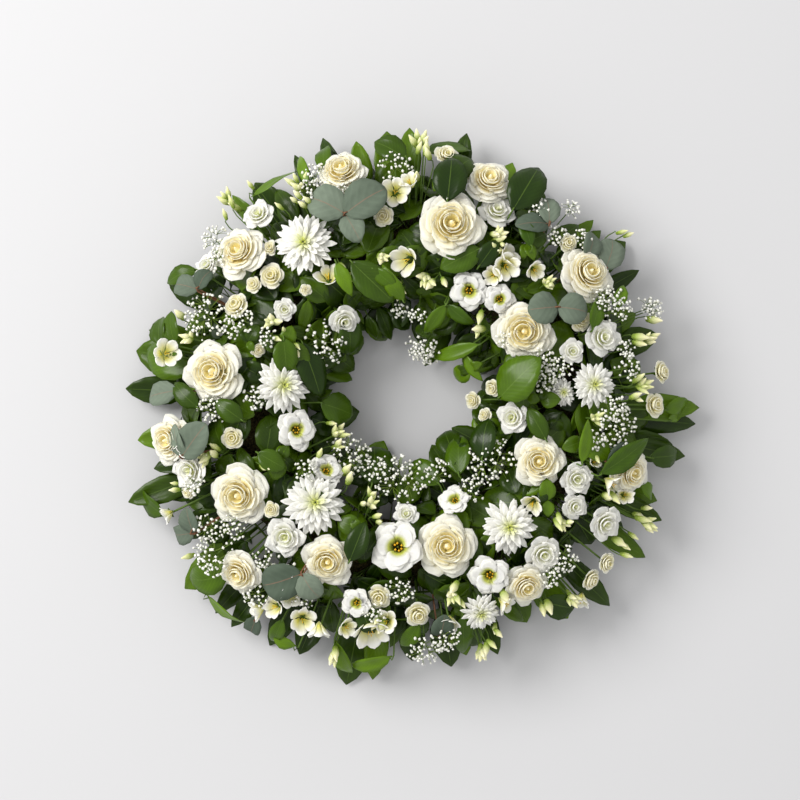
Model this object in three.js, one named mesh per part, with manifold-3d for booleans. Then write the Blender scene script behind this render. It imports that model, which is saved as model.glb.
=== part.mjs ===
// A funeral wreath lying on its back: a straw ring wrapped in moss, closely set with white roses,
// chrysanthemums, lisianthus and small flowers, with gypsophila between them and leaves round both rims.
// Millimetres, +Z up. The wreath's top, as it hangs or is laid, is towards +Y.
import * as THREE from 'three'
import { mergeVertices } from 'three/addons/utils/BufferGeometryUtils.js'
import Module from 'manifold-3d'

const wasm = await Module()
wasm.setup()
const UP = new THREE.Vector3(0, 0, 1)
const turn = THREE.MathUtils.degToRad

// The ring that carries everything. Its section is round, and cut flat where it rests. The ring sits a
// little off the middle of the whole outline, because the leaves reach farther on two sides.
const RING_RADIUS = 160
const RING_MIDDLE = [-8.5, 5.5]
const MOSS_SECTION = 36
const STRAW_SECTION = 22
const SECTION_RISE = 24
const RING_SEGMENTS = 24
const GAP = 0.3

// The domed surface that the flower heads lie on, measured from the middle of the ring's section.
const DOME_RISE = 70
const DOME_OUTWARD = 125
const DOME_INWARD = 98
const STEEPEST_HEAD = 0.94
const FLOWER_TILT = 0.6
const HEADS_ABOVE_RING = 48
const HEADS_ABOVE_TABLE = 40

// A stem bends in at the elbow and ends sunk in the moss. The stems of one spray meet on a level
// of their own just above the moss, and only the first of them is sunk.
const ELBOW_REACH = 47.6
const SINK_REACH = 26
const STEEPEST_FOOT = turn(50)
const RUNNER_STEP = 24
const RUNNER_TURN = turn(20)
const STEM_CLEARANCE = 0.7

// The leaves round the rims lie in two layers, so that neighbouring leafy stems pass each other.
const OUTER_STEM_RADIUS = 202
const INNER_STEM_RADIUS = 117
const LAYER_HEIGHTS = [11, 29]
const LEAFY_STEM_THICKNESS = 1.7
const LEAF_ARCH = 4
const LEAF_FOLD = 0.1
const PEG_DEPTH = 10
const STAGGER = 2.5
const STEM_TIP = 0.004
const BROAD_LEAF = 21

const BLADE = 0.8
const SMALLEST_DETAIL = 0.03
const HEAD_DEPTH = 0.65
const GOLDEN_ANGLE = turn(137.5)

// Where each head sits, seen from the front: across, up, diameter and, for some, how far it stands
// off the dome.
const ROSES = [
  [-64, 237, 54], [87, 227, 54], [48, 181, 70, 8], [188, 132, 60], [124, 73, 64],
  [-169, 154, 56], [-195, 31, 64], [-241, -39, 52], [-169, -95, 62], [-78, -163, 54],
  [44, -148, 62], [139, -61, 54], [-169, -175, 49], [125, -188, 47], [233, -72, 47]
]
const CHRYSANTHEMUMS = [
  [-102, 162, 64], [-125, 18, 60], [-92, -104, 68], [108, -128, 60], [194, 18, 49],
  [164, 10, 31, -6], [79, -216, 43]
]
const LISIANTHUS = [
  [-112, -29, 43], [-122, -138, 43], [-6, -149, 56], [67, 115, 41], [204, 66, 41], [88, -177, 43],
  [143, -156, 41], [177, -79, 37], [53, -102, 35], [112, -16, 35], [-62, 84, 35]
]
const SMALL_LISIANTHUS = [
  [-81, -72, 37], [98, 106, 33], [-48, -206, 33], [95, 197, 41, -6], [175, -107, 29],
  [2, -116, 27], [207, -125, 39], [173, 52, 27], [-150, 193, 35], [-203, 141, 29],
  [-220, -70, 41], [-123, 95, 25]
]
const SPRAY_ROSES = [
  [-138, 158, 20], [-136, 129, 31], [-154, 121, 21], [-172, 99, 31], [-150, 54, 18],
  [-101, 115, 14], [-176, -37, 26], [-136, -110, 20, 6], [-26, -200, 29], [14, -218, 31],
  [182, 84, 27], [72, 2, 21], [92, 15, 21], [84, -14, 18], [267, 31, 27], [259, -3, 29],
  [194, -184, 27], [210, -167, 25], [169, 164, 23], [-21, 191, 25], [-223, -93, 17], [44, 255, 29]
]
const FREESIAS = [
  [-246, 50, 37], [-9, 216, 37], [3, 146, 39], [-78, 128, 35], [106, 149, 33], [134, 136, 26],
  [-246, -117, 23], [-133, -212, 29], [-105, -225, 35], [-35, -235, 47], [132, -104, 31],
  [228, -96, 25], [195, -62, 19], [104, -207, 29], [47, -227, 27]
]
const BUDS = [
  [-182, 208, 14], [-107, 222, 23], [16, 264, 23], [97, 172, 12, 4], [-23, 149, 12], [-6, 115, 12],
  [-220, 66, 14], [-203, -57, 14], [-71, -34, 16], [-35, -105, 14], [49, -199, 12],
  [160, -122, 14], [243, 16, 14], [251, 64, 12], [250, -125, 16], [171, -202, 14], [80, -257, 14],
  [-73, -261, 12], [-136, 82, 18], [22, 129, 14], [146, 122, 14], [196, -17, 14]
]
const GYPSOPHILA = [
  [-197, 169, 27], [-205, 90, 43], [-181, 74, 21], [-96, 218, 27], [-81, 59, 41], [-195, -5, 31],
  [-153, 4, 23], [-203, -130, 29], [-197, -160, 40, 8], [-153, -202, 27], [-143, -163, 25],
  [-107, -201, 25], [-56, -55, 43], [-4, -80, 52], [89, -58, 47], [68, -91, 26], [22, -255, 35],
  [22, 54, 35], [145, 193, 25], [157, 172, 23], [212, 102, 35], [255, 98, 23], [228, 54, 21],
  [145, 28, 31], [217, -24, 43], [166, -163, 27], [-4, -194, 27], [-9, 244, 31], [-4, 95, 16]
]
const GREENERY = [
  [-123, 59, 41], [-160, 62, 24], [-128, -58, 27], [184, -39, 41], [147, -101, 27],
  [125, 162, 31], [123, 28, 45], [-45, -132, 31], [53, -55, 41], [140, 2, 25], [45, 231, 45],
  [-46, 203, 40], [156, 94, 46], [-125, -183, 45], [-205, -26, 27], [70, 36, 31], [27, 82, 27]
]

// The leaves round the rims: where the tip is, across and up, and how broad the blade is.
const OUTER_TIPS = [
  [-249, 129, 26], [-269, 76, 22], [-283, 54, 36], [-293, 14, 26], [-279, -40, 24],
  [-251, -99, 24], [-289, -105, 24], [-239, -142, 24], [-230, -196, 30], [-198, -222, 20],
  [-181, -236, 20], [-142, -258, 24], [-110, -266, 26], [-61, -299, 34], [-33, -293, 22],
  [9, -274, 24], [50, -279, 28], [66, -268, 22], [172, -227, 30], [130, -233, 26],
  [216, -214, 22], [266, -104, 22], [270, -124, 20], [295, -57, 22], [260, -50, 20],
  [310, -6, 24], [307, -23, 22], [282, -45, 18], [268, 71, 26], [248, 139, 16], [245, 93, 22],
  [234, 169, 28], [208, 181, 18], [200, 192, 16], [146, 225, 28], [114, 251, 22], [66, 282, 20],
  [6, 288, 22], [-18, 284, 26], [-50, 273, 20], [-85, 277, 18], [-115, 260, 14], [-157, 231, 28],
  [-181, 218, 14], [253, -163, 20], [259, 23, 20], [99, -266, 20], [-262, -70, 18]
]
const INNER_TIPS = [
  [-60, 43, 24], [-87, 18, 16], [-47, -10, 26], [-21, -41, 28], [29, -45, 24], [50, -27, 20],
  [70, -29, 20], [22, 38, 18], [68, 31, 14], [66, 52, 18], [-20, 67, 32], [16, 63, 22],
  [53, 71, 18], [-76, -39, 18], [89, -3, 16], [-54, 23, 16]
]

const FINISHES = {
  straw: { color: 0xb59a5c, roughness: 0.95 },
  moss: { color: 0x4a3a28, roughness: 1 },
  rose: { color: 0xf3ecd6, roughness: 0.65 },
  chrysanthemum: { color: 0xf4f5ec, roughness: 0.7 },
  lisianthus: { color: 0xf7f6ef, roughness: 0.65 },
  spray: { color: 0xefe9cf, roughness: 0.65 },
  gypsophila: { color: 0xfafaf6, roughness: 0.8 },
  greenery: { color: 0x7d9184, roughness: 0.6 },
  leaf: { color: 0x33552c, roughness: 0.45 }
}

// Solids are kept as closed meshes that can be joined and cut.
function solidOf(points, faces) {
  const vertProperties = new Float32Array(points.flatMap(point => [point.x, point.y, point.z]))
  const solid = new wasm.Manifold(
    new wasm.Mesh({ numProp: 3, vertProperties, triVerts: new Uint32Array(faces.flat()) })
  )
  if (solid.volume() > 0) return solid
  const turned = faces.map(([a, b, c]) => [a, c, b])
  return new wasm.Manifold(
    new wasm.Mesh({ numProp: 3, vertProperties, triVerts: new Uint32Array(turned.flat()) })
  )
}

function solidFromGeometry(geometry) {
  for (const name of ['normal', 'uv']) geometry.deleteAttribute(name)
  const merged = mergeVertices(geometry)
  const position = merged.getAttribute('position')
  const points = []
  for (let i = 0; i < position.count; i++) points.push(new THREE.Vector3().fromBufferAttribute(position, i))
  const faces = []
  for (let i = 0; i < merged.index.count; i += 3) {
    const face = [0, 1, 2].map(corner => merged.index.getX(i + corner))
    if (new Set(face).size === 3) faces.push(face)
  }
  return solidOf(points, faces)
}

// A thin closed blade over rows of points from its root to its tip. A row of one point is a corner
// where both faces meet. Both faces are split alike.
function blade(rows, thickness = BLADE) {
  const columns = Math.max(...rows.map(row => row.length))
  const at = (r, c) => {
    const row = rows[Math.min(Math.max(r, 0), rows.length - 1)]
    return row.length === 1 ? row[0] : row[Math.min(Math.max(c, 0), columns - 1)]
  }
  const points = []
  const front = []
  const back = []
  for (let r = 0; r < rows.length; r++) {
    front.push([])
    back.push([])
    for (let c = 0; c < columns; c++) {
      if (rows[r].length === 1) {
        if (c === 0) points.push(rows[r][0])
        front[r].push(points.length - 1)
        back[r].push(points.length - 1)
        continue
      }
      const along = at(r + 1, c).clone().sub(at(r - 1, c))
      const across = at(r, c + 1).clone().sub(at(r, c - 1))
      const normal = along.cross(across).normalize().multiplyScalar(thickness / 2)
      points.push(at(r, c).clone().add(normal), at(r, c).clone().sub(normal))
      front[r].push(points.length - 2)
      back[r].push(points.length - 1)
    }
  }
  const faces = []
  const quad = (a, b, c, d) => {
    for (const face of [[a, b, c], [a, c, d]]) if (new Set(face).size === 3) faces.push(face)
  }
  for (let r = 0; r + 1 < rows.length; r++) {
    for (let c = 0; c + 1 < columns; c++) {
      quad(front[r][c], front[r + 1][c], front[r + 1][c + 1], front[r][c + 1])
      const [a, b, d, e] = [back[r][c], back[r + 1][c], back[r + 1][c + 1], back[r][c + 1]]
      for (const face of [[a, d, b], [a, e, d]]) if (new Set(face).size === 3) faces.push(face)
    }
    quad(front[r + 1][0], front[r][0], back[r][0], back[r + 1][0])
    const last = columns - 1
    quad(front[r][last], front[r + 1][last], back[r + 1][last], back[r][last])
  }
  const end = rows.length - 1
  for (let c = 0; c + 1 < columns; c++) {
    if (rows[0].length > 1) quad(front[0][c], front[0][c + 1], back[0][c + 1], back[0][c])
    if (rows[end].length > 1) quad(front[end][c + 1], front[end][c], back[end][c], back[end][c + 1])
  }
  return solidOf(points, faces)
}

function stem(curve, radius, steps, sides = 3) {
  const outline = new THREE.Shape()
  for (let i = 0; i < sides; i++) {
    const angle = (i * 2 * Math.PI) / sides
    const corner = [radius * Math.cos(angle), radius * Math.sin(angle)]
    if (i === 0) outline.moveTo(...corner)
    else outline.lineTo(...corner)
  }
  outline.closePath()
  return solidFromGeometry(
    new THREE.ExtrudeGeometry(outline, { steps, extrudePath: curve, bevelEnabled: false, curveSegments: 1 })
  )
}

// A point by its place round the ring, its lean from upright (outward is positive) and its reach
// from the middle of the section.
function ringPoint(angle, lean, reach) {
  const radius = RING_RADIUS + reach * Math.sin(lean)
  return new THREE.Vector3(
    radius * Math.cos(angle),
    radius * Math.sin(angle),
    SECTION_RISE + reach * Math.cos(lean)
  )
}

// Every head has its place on the dome, the way it faces, and a foot on the ring under it.
function settle([x, y, size, lift = 0], kind, index) {
  const angle = Math.atan2(y, x)
  const outward = Math.hypot(x, y) - RING_RADIUS
  const share = Math.min(STEEPEST_HEAD, Math.abs(outward) / (outward > 0 ? DOME_OUTWARD : DOME_INWARD))
  const height = DOME_RISE * Math.sqrt(1 - share * share) + lift
  const lean = Math.atan2(outward, height)
  const tilt = lean * FLOWER_TILT
  const facing = new THREE.Vector3(
    Math.sin(tilt) * Math.cos(angle),
    Math.sin(tilt) * Math.sin(angle),
    Math.cos(tilt)
  )
  const turned = new THREE.Quaternion().setFromUnitVectors(UP, facing)
  turned.multiply(new THREE.Quaternion().setFromAxisAngle(UP, index * GOLDEN_ANGLE))
  return {
    kind,
    angle,
    lean,
    facing,
    turned,
    reach: Math.hypot(outward, height),
    radius: size / 2,
    centre: new THREE.Vector3(x, y, SECTION_RISE + height),
    footLean: THREE.MathUtils.clamp(lean, -STEEPEST_FOOT, STEEPEST_FOOT)
  }
}

// Each head keeps to its own share of the room: flat walls stand between it and its neighbours,
// nearer to the smaller of the two, and others keep it off the stems on the ring and off the table.
function setWalls(heads) {
  for (const head of heads) {
    head.walls = [
      { normal: new THREE.Vector3(0, 0, -1), distance: head.centre.z - HEADS_ABOVE_TABLE },
      { normal: ringPoint(head.angle, head.lean, -1).sub(ringPoint(head.angle, head.lean, 0)),
        distance: head.reach - HEADS_ABOVE_RING }
    ]
    for (const other of heads) {
      const normal = other.centre.clone().sub(head.centre)
      const between = normal.length()
      if (other === head || between > 1.3 * (head.radius + other.radius)) continue
      const wall = (between ** 2 + head.radius ** 2 - other.radius ** 2) / (2 * between)
      head.walls.push({ normal: normal.divideScalar(between), distance: wall - GAP / 2 })
    }
  }
}

// Takes a point of the head's own shape, in radii from its middle, into its share of the room.
function fit(head, x, y, z) {
  const point = new THREE.Vector3(x, y, z).multiplyScalar(head.radius).applyQuaternion(head.turned)
  const length = point.length()
  if (length < 1e-6) return head.centre.clone()
  point.divideScalar(length)
  const rise = point.dot(head.facing)
  const edge = head.radius / Math.sqrt(1 - rise * rise + (rise / HEAD_DEPTH) ** 2)
  let room = edge
  for (const { normal, distance } of head.walls) {
    const towards = point.dot(normal)
    if (towards > 1e-6) room = Math.min(room, distance / towards)
  }
  return head.centre.clone().addScaledVector(point, Math.min(length, edge) * (room / edge))
}

// Draws a three-sided stem out of three corners of a sheet and along a path, and closes its end.
function drawStem(points, faces, corners, path, thickness, side) {
  let ring = corners
  const middle = new THREE.Vector3()
  for (const corner of corners) middle.addScaledVector(points[corner], 1 / 3)
  const across = side.clone()
  path.forEach((point, step) => {
    const along = path[Math.max(step - 1, 0)].clone().sub(path[Math.min(step + 1, path.length - 1)])
    if (path.length === 1) along.copy(middle).sub(point)
    along.normalize()
    across.projectOnPlane(along).normalize()
    const first = points.length
    for (let k = 0; k < 3; k++) {
      const out = across.clone().applyAxisAngle(along, (k * 2 * Math.PI) / 3)
      points.push(point.clone().addScaledVector(out, thickness))
    }
    const next = [first, first + 1, first + 2]
    for (let k = 0; k < 3; k++) {
      const m = (k + 1) % 3
      faces.push([ring[k], next[k], next[m]], [ring[k], next[m], ring[m]])
    }
    ring = next
  })
  faces.push([ring[0], ring[2], ring[1]])
}

// A three-sided rod through every point of its path.
function rod(path, thickness) {
  const along = path[0].clone().sub(path[1]).normalize()
  const side = new THREE.Vector3(0, 0, 1).projectOnPlane(along).normalize()
  const points = []
  for (let k = 0; k < 3; k++) {
    const out = side.clone().applyAxisAngle(along, (k * 2 * Math.PI) / 3)
    points.push(path[0].clone().addScaledVector(out, thickness))
  }
  const faces = [[0, 1, 2]]
  drawStem(points, faces, [0, 1, 2], path.slice(1), thickness, side)
  return solidOf(points, faces)
}

// A bloom is one folded sheet: from its stem and underside out to a rim of petals, back into a crease
// and out again to the next layer, up to its middle. Notches part the petals of each layer.
function bloom(head, { petals, perPetal, layers, bottom = -0.5, top }) {
  const samples = petals * perPetal
  const thick = BLADE / head.radius
  const { stem: thickness } = KINDS[head.kind]
  const points = []
  const faces = []
  const side = new THREE.Vector3(1, 0, 0).applyQuaternion(head.turned)
  for (let k = 0; k < 3; k++) {
    const out = side.clone().applyAxisAngle(head.facing, (k * 2 * Math.PI) / 3 + Math.PI / samples)
    points.push(fit(head, 0, 0, bottom).addScaledVector(out, thickness))
  }
  drawStem(points, faces, [0, 1, 2], stemPath(head), thickness, side)
  const start = points.length
  const ring = (reachOf, riseOf) => {
    for (let i = 0; i < samples; i++) {
      const around = (i * 2 * Math.PI) / samples
      const reach = reachOf(i)
      points.push(fit(head, reach * Math.cos(around), reach * Math.sin(around), riseOf(i)))
    }
  }
  layers.forEach(({ rim, rise, notch, sink, crease, floor }, layer) => {
    const notched = i => (i + layer * Math.ceil(perPetal / 2)) % perPetal === 0
    const reach = i => rim * (notched(i) ? notch : 1)
    const height = i => rise - (notched(i) ? sink : 0)
    ring(reach, i => height(i) - thick / 2)
    ring(i => reach(i) - thick / 2, i => height(i) + thick / 2)
    ring(() => crease, () => floor)
  })
  points.push(fit(head, 0, 0, top))
  const rings = 3 * layers.length
  const last = points.length - 1
  const corner = i => Math.floor((3 * i) / samples) % 3
  for (let i = 0; i < samples; i++) {
    const next = (i + 1) % samples
    faces.push([corner(i), start + next, start + i])
    if (corner(i) !== corner(next)) faces.push([start + next, corner(i), corner(next)])
    faces.push([last, last - samples + i, last - samples + next])
    for (let r = 0; r + 1 < rings; r++) {
      const [low, high] = [start + r * samples, start + (r + 1) * samples]
      faces.push([low + i, low + next, high + next], [low + i, high + next, high + i])
    }
  }
  return [solidOf(points, faces)]
}

const rose = head => bloom(head, {
  petals: 5,
  perPetal: 3,
  layers: [
    { rim: 0.99, rise: 0.1, notch: 0.8, sink: 0.08, crease: 0.6, floor: -0.06 },
    { rim: 0.66, rise: 0.38, notch: 0.84, sink: 0.05, crease: 0.36, floor: 0.22 }
  ],
  top: 0.58
})
const chrysanthemum = head => bloom(head, {
  petals: 10,
  perPetal: 2,
  layers: [
    { rim: 1, rise: 0.04, notch: 0.56, sink: 0.06, crease: 0.46, floor: -0.04 },
    { rim: 0.78, rise: 0.34, notch: 0.56, sink: 0.08, crease: 0.3, floor: 0.24 }
  ],
  top: 0.5
})
const lisianthus = head => bloom(head, {
  petals: 5,
  perPetal: 3,
  layers: [{ rim: 0.98, rise: 0.18, notch: 0.8, sink: 0.08, crease: 0.42, floor: -0.1 }],
  top: 0.3
})
const smallLisianthus = head => bloom(head, {
  petals: 5,
  perPetal: 2,
  layers: [{ rim: 0.98, rise: 0.18, notch: 0.74, sink: 0.08, crease: 0.42, floor: -0.08 }],
  top: 0.35
})
const sprayRose = head => bloom(head, {
  petals: 4,
  perPetal: 2,
  layers: [{ rim: 0.98, rise: 0.14, notch: 0.78, sink: 0.06, crease: 0.54, floor: 0.02 }],
  top: 0.58
})
const freesia = head => bloom(head, {
  petals: 5,
  perPetal: 2,
  layers: [{ rim: 1, rise: 0.16, notch: 0.5, sink: 0.06, crease: 0.34, floor: -0.04 }],
  top: -0.2
})

// Slim stalks, each swelling to a bulb near its tip, drawn out of the upper faces of a small knot, and
// the stem out of its lowest face.
function cluster(head, knot, wanted, bulb, swell) {
  const shape = wanted > 6 ? new THREE.IcosahedronGeometry(1, 0) : new THREE.OctahedronGeometry(1, 0)
  for (const name of ['normal', 'uv']) shape.deleteAttribute(name)
  const merged = mergeVertices(shape)
  const corners = []
  for (let i = 0; i < merged.getAttribute('position').count; i++) {
    corners.push(new THREE.Vector3().fromBufferAttribute(merged.getAttribute('position'), i))
  }
  const sides = []
  for (let i = 0; i < merged.index.count; i += 3) sides.push([0, 1, 2].map(k => merged.index.getX(i + k)))
  const middleOf = side => side.reduce((sum, i) => sum.add(corners[i]), new THREE.Vector3()).divideScalar(3)
  sides.sort((a, b) => middleOf(b).z - middleOf(a).z)
  const points = corners.map(corner =>
    head.centre.clone().addScaledVector(corner.clone().applyQuaternion(head.turned), knot))
  const faces = sides.slice(wanted, -1)
  for (const side of sides.slice(0, wanted)) {
    const { x, y, z } = middleOf(side).normalize().multiplyScalar(0.95)
    const tip = fit(head, x, y, z * HEAD_DEPTH)
    const base = side.reduce((sum, i) => sum.add(points[i]), new THREE.Vector3()).divideScalar(3)
    const along = tip.clone().sub(base)
    const first = points.length
    for (const i of side) {
      const out = points[i].clone().sub(base).projectOnPlane(along.clone().normalize()).normalize()
      points.push(base.clone().addScaledVector(along, swell).addScaledVector(out, bulb))
    }
    points.push(tip)
    for (let k = 0; k < 3; k++) {
      const next = (k + 1) % 3
      faces.push([side[k], side[next], first + next], [side[k], first + next, first + k])
      faces.push([first + k, first + next, first + 3])
    }
  }
  const lowest = sides[sides.length - 1]
  const [a, b, c] = [lowest[0], lowest[2], lowest[1]]
  const side = points[a].clone().sub(middleOf(lowest).applyQuaternion(head.turned).multiplyScalar(knot).add(head.centre))
  drawStem(points, faces, [a, b, c], stemPath(head), KINDS[head.kind].stem, side)
  return [solidOf(points, faces)]
}

const budCluster = head => cluster(head, 1.4, 3, 2.8, 0.6)
const gypsophila = head => cluster(head, 1.4, head.radius > 14 ? 6 : 4, 2.4, 0.84)

// Leaves drawn in the head's share: one across it, or a pair joined at the stem.
function greenery(head) {
  const row = (along, half) => [half, 0, -half].map(side => fit(head, along, side, Math.abs(side) * 0.3))
  const tip = along => [fit(head, along, 0, 0)]
  const leaf = head.radius < 17
    ? blade([tip(-0.95), row(-0.3, 0.36), row(0.35, 0.32), tip(0.95)])
    : blade([tip(-0.97), row(-0.55, 0.36), row(0, 0.07), row(0.55, 0.36), tip(0.97)])
  return [leaf, rod([head.centre, ...stemPath(head)], KINDS[head.kind].stem)]
}

const KINDS = {
  rose: { build: rose, stem: 2.2 },
  chrysanthemum: { build: chrysanthemum, stem: 1.8 },
  lisianthus: { build: lisianthus, stem: 1.5 },
  smallLisianthus: { build: smallLisianthus, stem: 1.2 },
  sprayRose: { build: sprayRose, stem: 1.2 },
  freesia: { build: freesia, stem: 1.2 },
  bud: { build: budCluster, stem: 0.9 },
  gypsophila: { build: gypsophila, stem: 0.8 },
  greenery: { build: greenery, stem: 0.8 }
}

const headsOf = (list, kind) => list.map((row, index) => settle(row, kind, index))
const roses = headsOf(ROSES, 'rose')
const chrysanthemums = headsOf(CHRYSANTHEMUMS, 'chrysanthemum')
const lisianthuses = headsOf(LISIANTHUS, 'lisianthus')
const fillers = [
  ...headsOf(SMALL_LISIANTHUS, 'smallLisianthus'),
  ...headsOf(SPRAY_ROSES, 'sprayRose'),
  ...headsOf(FREESIAS, 'freesia'),
  ...headsOf(BUDS, 'bud')
]
const veils = headsOf(GYPSOPHILA, 'gypsophila')
const sprigs = headsOf(GREENERY, 'greenery')
const allHeads = [...roses, ...chrysanthemums, ...lisianthuses, ...fillers, ...veils, ...sprigs]
setWalls(allHeads)

// The heads of one kind of filler are gathered into sprays by their place round the ring.
function gather(heads, count) {
  const groups = Array.from({ length: count }, () => [])
  for (const head of heads) {
    const share = (head.angle / (2 * Math.PI) + 1) % 1
    groups[Math.floor(share * count)].push(head)
  }
  return groups
}

// The joining stems of a spray run on its level. A stretch is taken only where it clears every
// other stem that reaches down to that level and every stretch of another spray.
const laid = []
function route(from, to, level, thickness) {
  const bends = [[0, 0], [0, 12], [0, -12], [3, 0], [-3, 0], [0, 24], [0, -24], [4, 14], [-4, 14], [4, -14], [-4, -14], [7, 0], [-7, 0]]
  let sweep = to.angle - from.angle
  if (sweep > Math.PI) sweep -= 2 * Math.PI
  if (sweep < -Math.PI) sweep += 2 * Math.PI
  for (const [aside, over] of bends) {
    const length = ringPoint(from.angle, from.footLean, level).distanceTo(ringPoint(to.angle, to.footLean, level))
    const leaning = Math.abs(to.footLean - from.footLean) + 2 * Math.abs(turn(over))
    const bent = aside || over ? 2 : 1
    const steps = Math.max(bent, Math.ceil(length / RUNNER_STEP), Math.ceil(leaning / RUNNER_TURN))
    const points = []
    for (let i = 0; i <= steps; i++) {
      const share = i / steps
      const bow = Math.sin(Math.PI * share)
      const lean = from.footLean + (to.footLean - from.footLean) * share + turn(over) * bow
      points.push(ringPoint(from.angle + sweep * share + turn(aside) * bow, lean, level))
    }
    const tests = []
    for (let i = 0; i < steps; i++) {
      for (const share of [0, 0.25, 0.5, 0.75, 1]) tests.push(points[i].clone().lerp(points[i + 1], share))
    }
    const clear = allHeads.every(other => {
      if (other === from || other === to || other.low > level) return true
      const post = new THREE.Line3(
        ringPoint(other.angle, other.footLean, MOSS_SECTION - 4),
        ringPoint(other.angle, other.footLean, ELBOW_REACH)
      )
      const need = thickness + KINDS[other.kind].stem + STEM_CLEARANCE
      return tests.every(point => post.closestPointToPoint(point, true, new THREE.Vector3()).distanceTo(point) > need)
    })
    const apart = laid.every(other => other.group === from.group || other.level !== level
      || tests.every(point => other.tests.every(test => test.distanceTo(point) > 2 * thickness + 2.4)))
    if (clear && apart) return { points, tests, level, group: from.group }
  }
  return null
}

// Joins each foot of a spray to another by the shortest clear stretches, one after another.
function joinFeet(heads, level, thickness) {
  const joined = [heads[0]]
  const waiting = heads.slice(1)
  while (waiting.length) {
    const pairs = joined.flatMap(from => waiting.map(to => ({
      from,
      to,
      length: ringPoint(from.angle, from.footLean, level).distanceTo(ringPoint(to.angle, to.footLean, level))
    })))
    pairs.sort((a, b) => a.length - b.length)
    let found = null
    for (const { from, to } of pairs) {
      found = route(from, to, level, thickness)
      if (found) {
        laid.push(found)
        to.joins = found.points
        joined.push(to)
        waiting.splice(waiting.indexOf(to), 1)
        break
      }
    }
    if (!found) throw new Error('no clear stretch to ' + JSON.stringify(waiting.map(head => head.centre)))
  }
}

// The way that a head's stem takes below it: round the elbow and into the moss, or down to its
// spray's level and along it to the stem that it joins.
function stemPath(head) {
  if (head.joins) return [...head.joins].reverse()
  const foot = ringPoint(head.angle, head.footLean, SINK_REACH)
  return [ringPoint(head.angle, head.footLean, ELBOW_REACH), foot]
}

// The hole's four flat sides keep the gap from the stem's corners, whichever way those point.
function holeFor(head) {
  const [end, start] = [ELBOW_REACH, SINK_REACH - GAP].map(reach => ringPoint(head.angle, head.footLean, reach))
  const radius = (KINDS[head.kind].stem + GAP) / Math.cos(Math.PI / 4)
  return stem(new THREE.LineCurve3(start, end), radius, 1, 4)
}

const wreath = new THREE.Group()
function addNode(name, solids, finish) {
  const joined = wasm.Manifold.union(solids)
  const mesh = joined.simplify(SMALLEST_DETAIL).translate([...RING_MIDDLE, 0]).getMesh()
  const geometry = new THREE.BufferGeometry()
  geometry.setAttribute('position', new THREE.BufferAttribute(mesh.vertProperties, 3))
  geometry.setIndex(new THREE.BufferAttribute(mesh.triVerts, 1))
  geometry.computeVertexNormals()
  const material = new THREE.MeshStandardMaterial({ ...FINISHES[finish], metalness: 0 })
  const node = new THREE.Mesh(geometry, material)
  node.name = name
  wreath.add(node)
}

const twoDigits = number => String(number + 1).padStart(2, '0')
const holes = []
function addFlowers(name, heads, finish) {
  for (const head of heads) head.low = SINK_REACH
  heads.forEach((head, index) => {
    addNode(`${name}_${twoDigits(index)}`, KINDS[head.kind].build(head), finish)
    holes.push(holeFor(head))
  })
}

const SPRAYS = [
  { name: 'small_flower_spray', heads: fillers, count: 6, level: 39.6, thickness: 1.3, finish: 'spray' },
  { name: 'gypsophila_spray', heads: veils, count: 4, level: 43.4, thickness: 0.9, finish: 'gypsophila' },
  { name: 'greenery_sprig', heads: sprigs, count: 4, level: 46.2, thickness: 0.9, finish: 'greenery' }
]
for (const spray of SPRAYS) {
  spray.groups = gather(spray.heads, spray.count)
  for (const group of spray.groups) {
    for (const head of group) Object.assign(head, { low: spray.level, group })
    group[0].low = SINK_REACH
  }
}
addFlowers('rose', roses, 'rose')
addFlowers('chrysanthemum', chrysanthemums, 'chrysanthemum')
addFlowers('lisianthus', lisianthuses, 'lisianthus')
for (const { name, groups, level, thickness, finish } of SPRAYS) {
  groups.forEach((group, index) => {
    joinFeet(group, level, thickness)
    addNode(`${name}_${twoDigits(index)}`, group.flatMap(head => KINDS[head.kind].build(head)), finish)
    holes.push(holeFor(group[0]))
  })
}

// A leaf of the rims: it leaves the stem, arches a little and droops to its tip, folded along its rib.
function rimLeaf([x, y, width], stemRadius, height, index) {
  const angle = Math.atan2(y, x)
  const root = new THREE.Vector3(stemRadius * Math.cos(angle), stemRadius * Math.sin(angle), height)
  const tip = new THREE.Vector3(x, y, height + (index % 2 ? STAGGER : -STAGGER))
  const across = tip.clone().sub(root).cross(UP).normalize()
  const row = (share, half) => [-half, 0, half].map(side => {
    const point = root.clone().lerp(tip, share).addScaledVector(across, side * width)
    point.z += LEAF_ARCH * Math.sin(Math.PI * share) + Math.abs(side) * width * LEAF_FOLD
    return point
  })
  if (width < BROAD_LEAF) return blade([[root], row(0.55, 0.45), [tip]])
  return blade([[root], row(0.4, 0.42), row(0.72, 0.38), [tip]])
}

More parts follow.
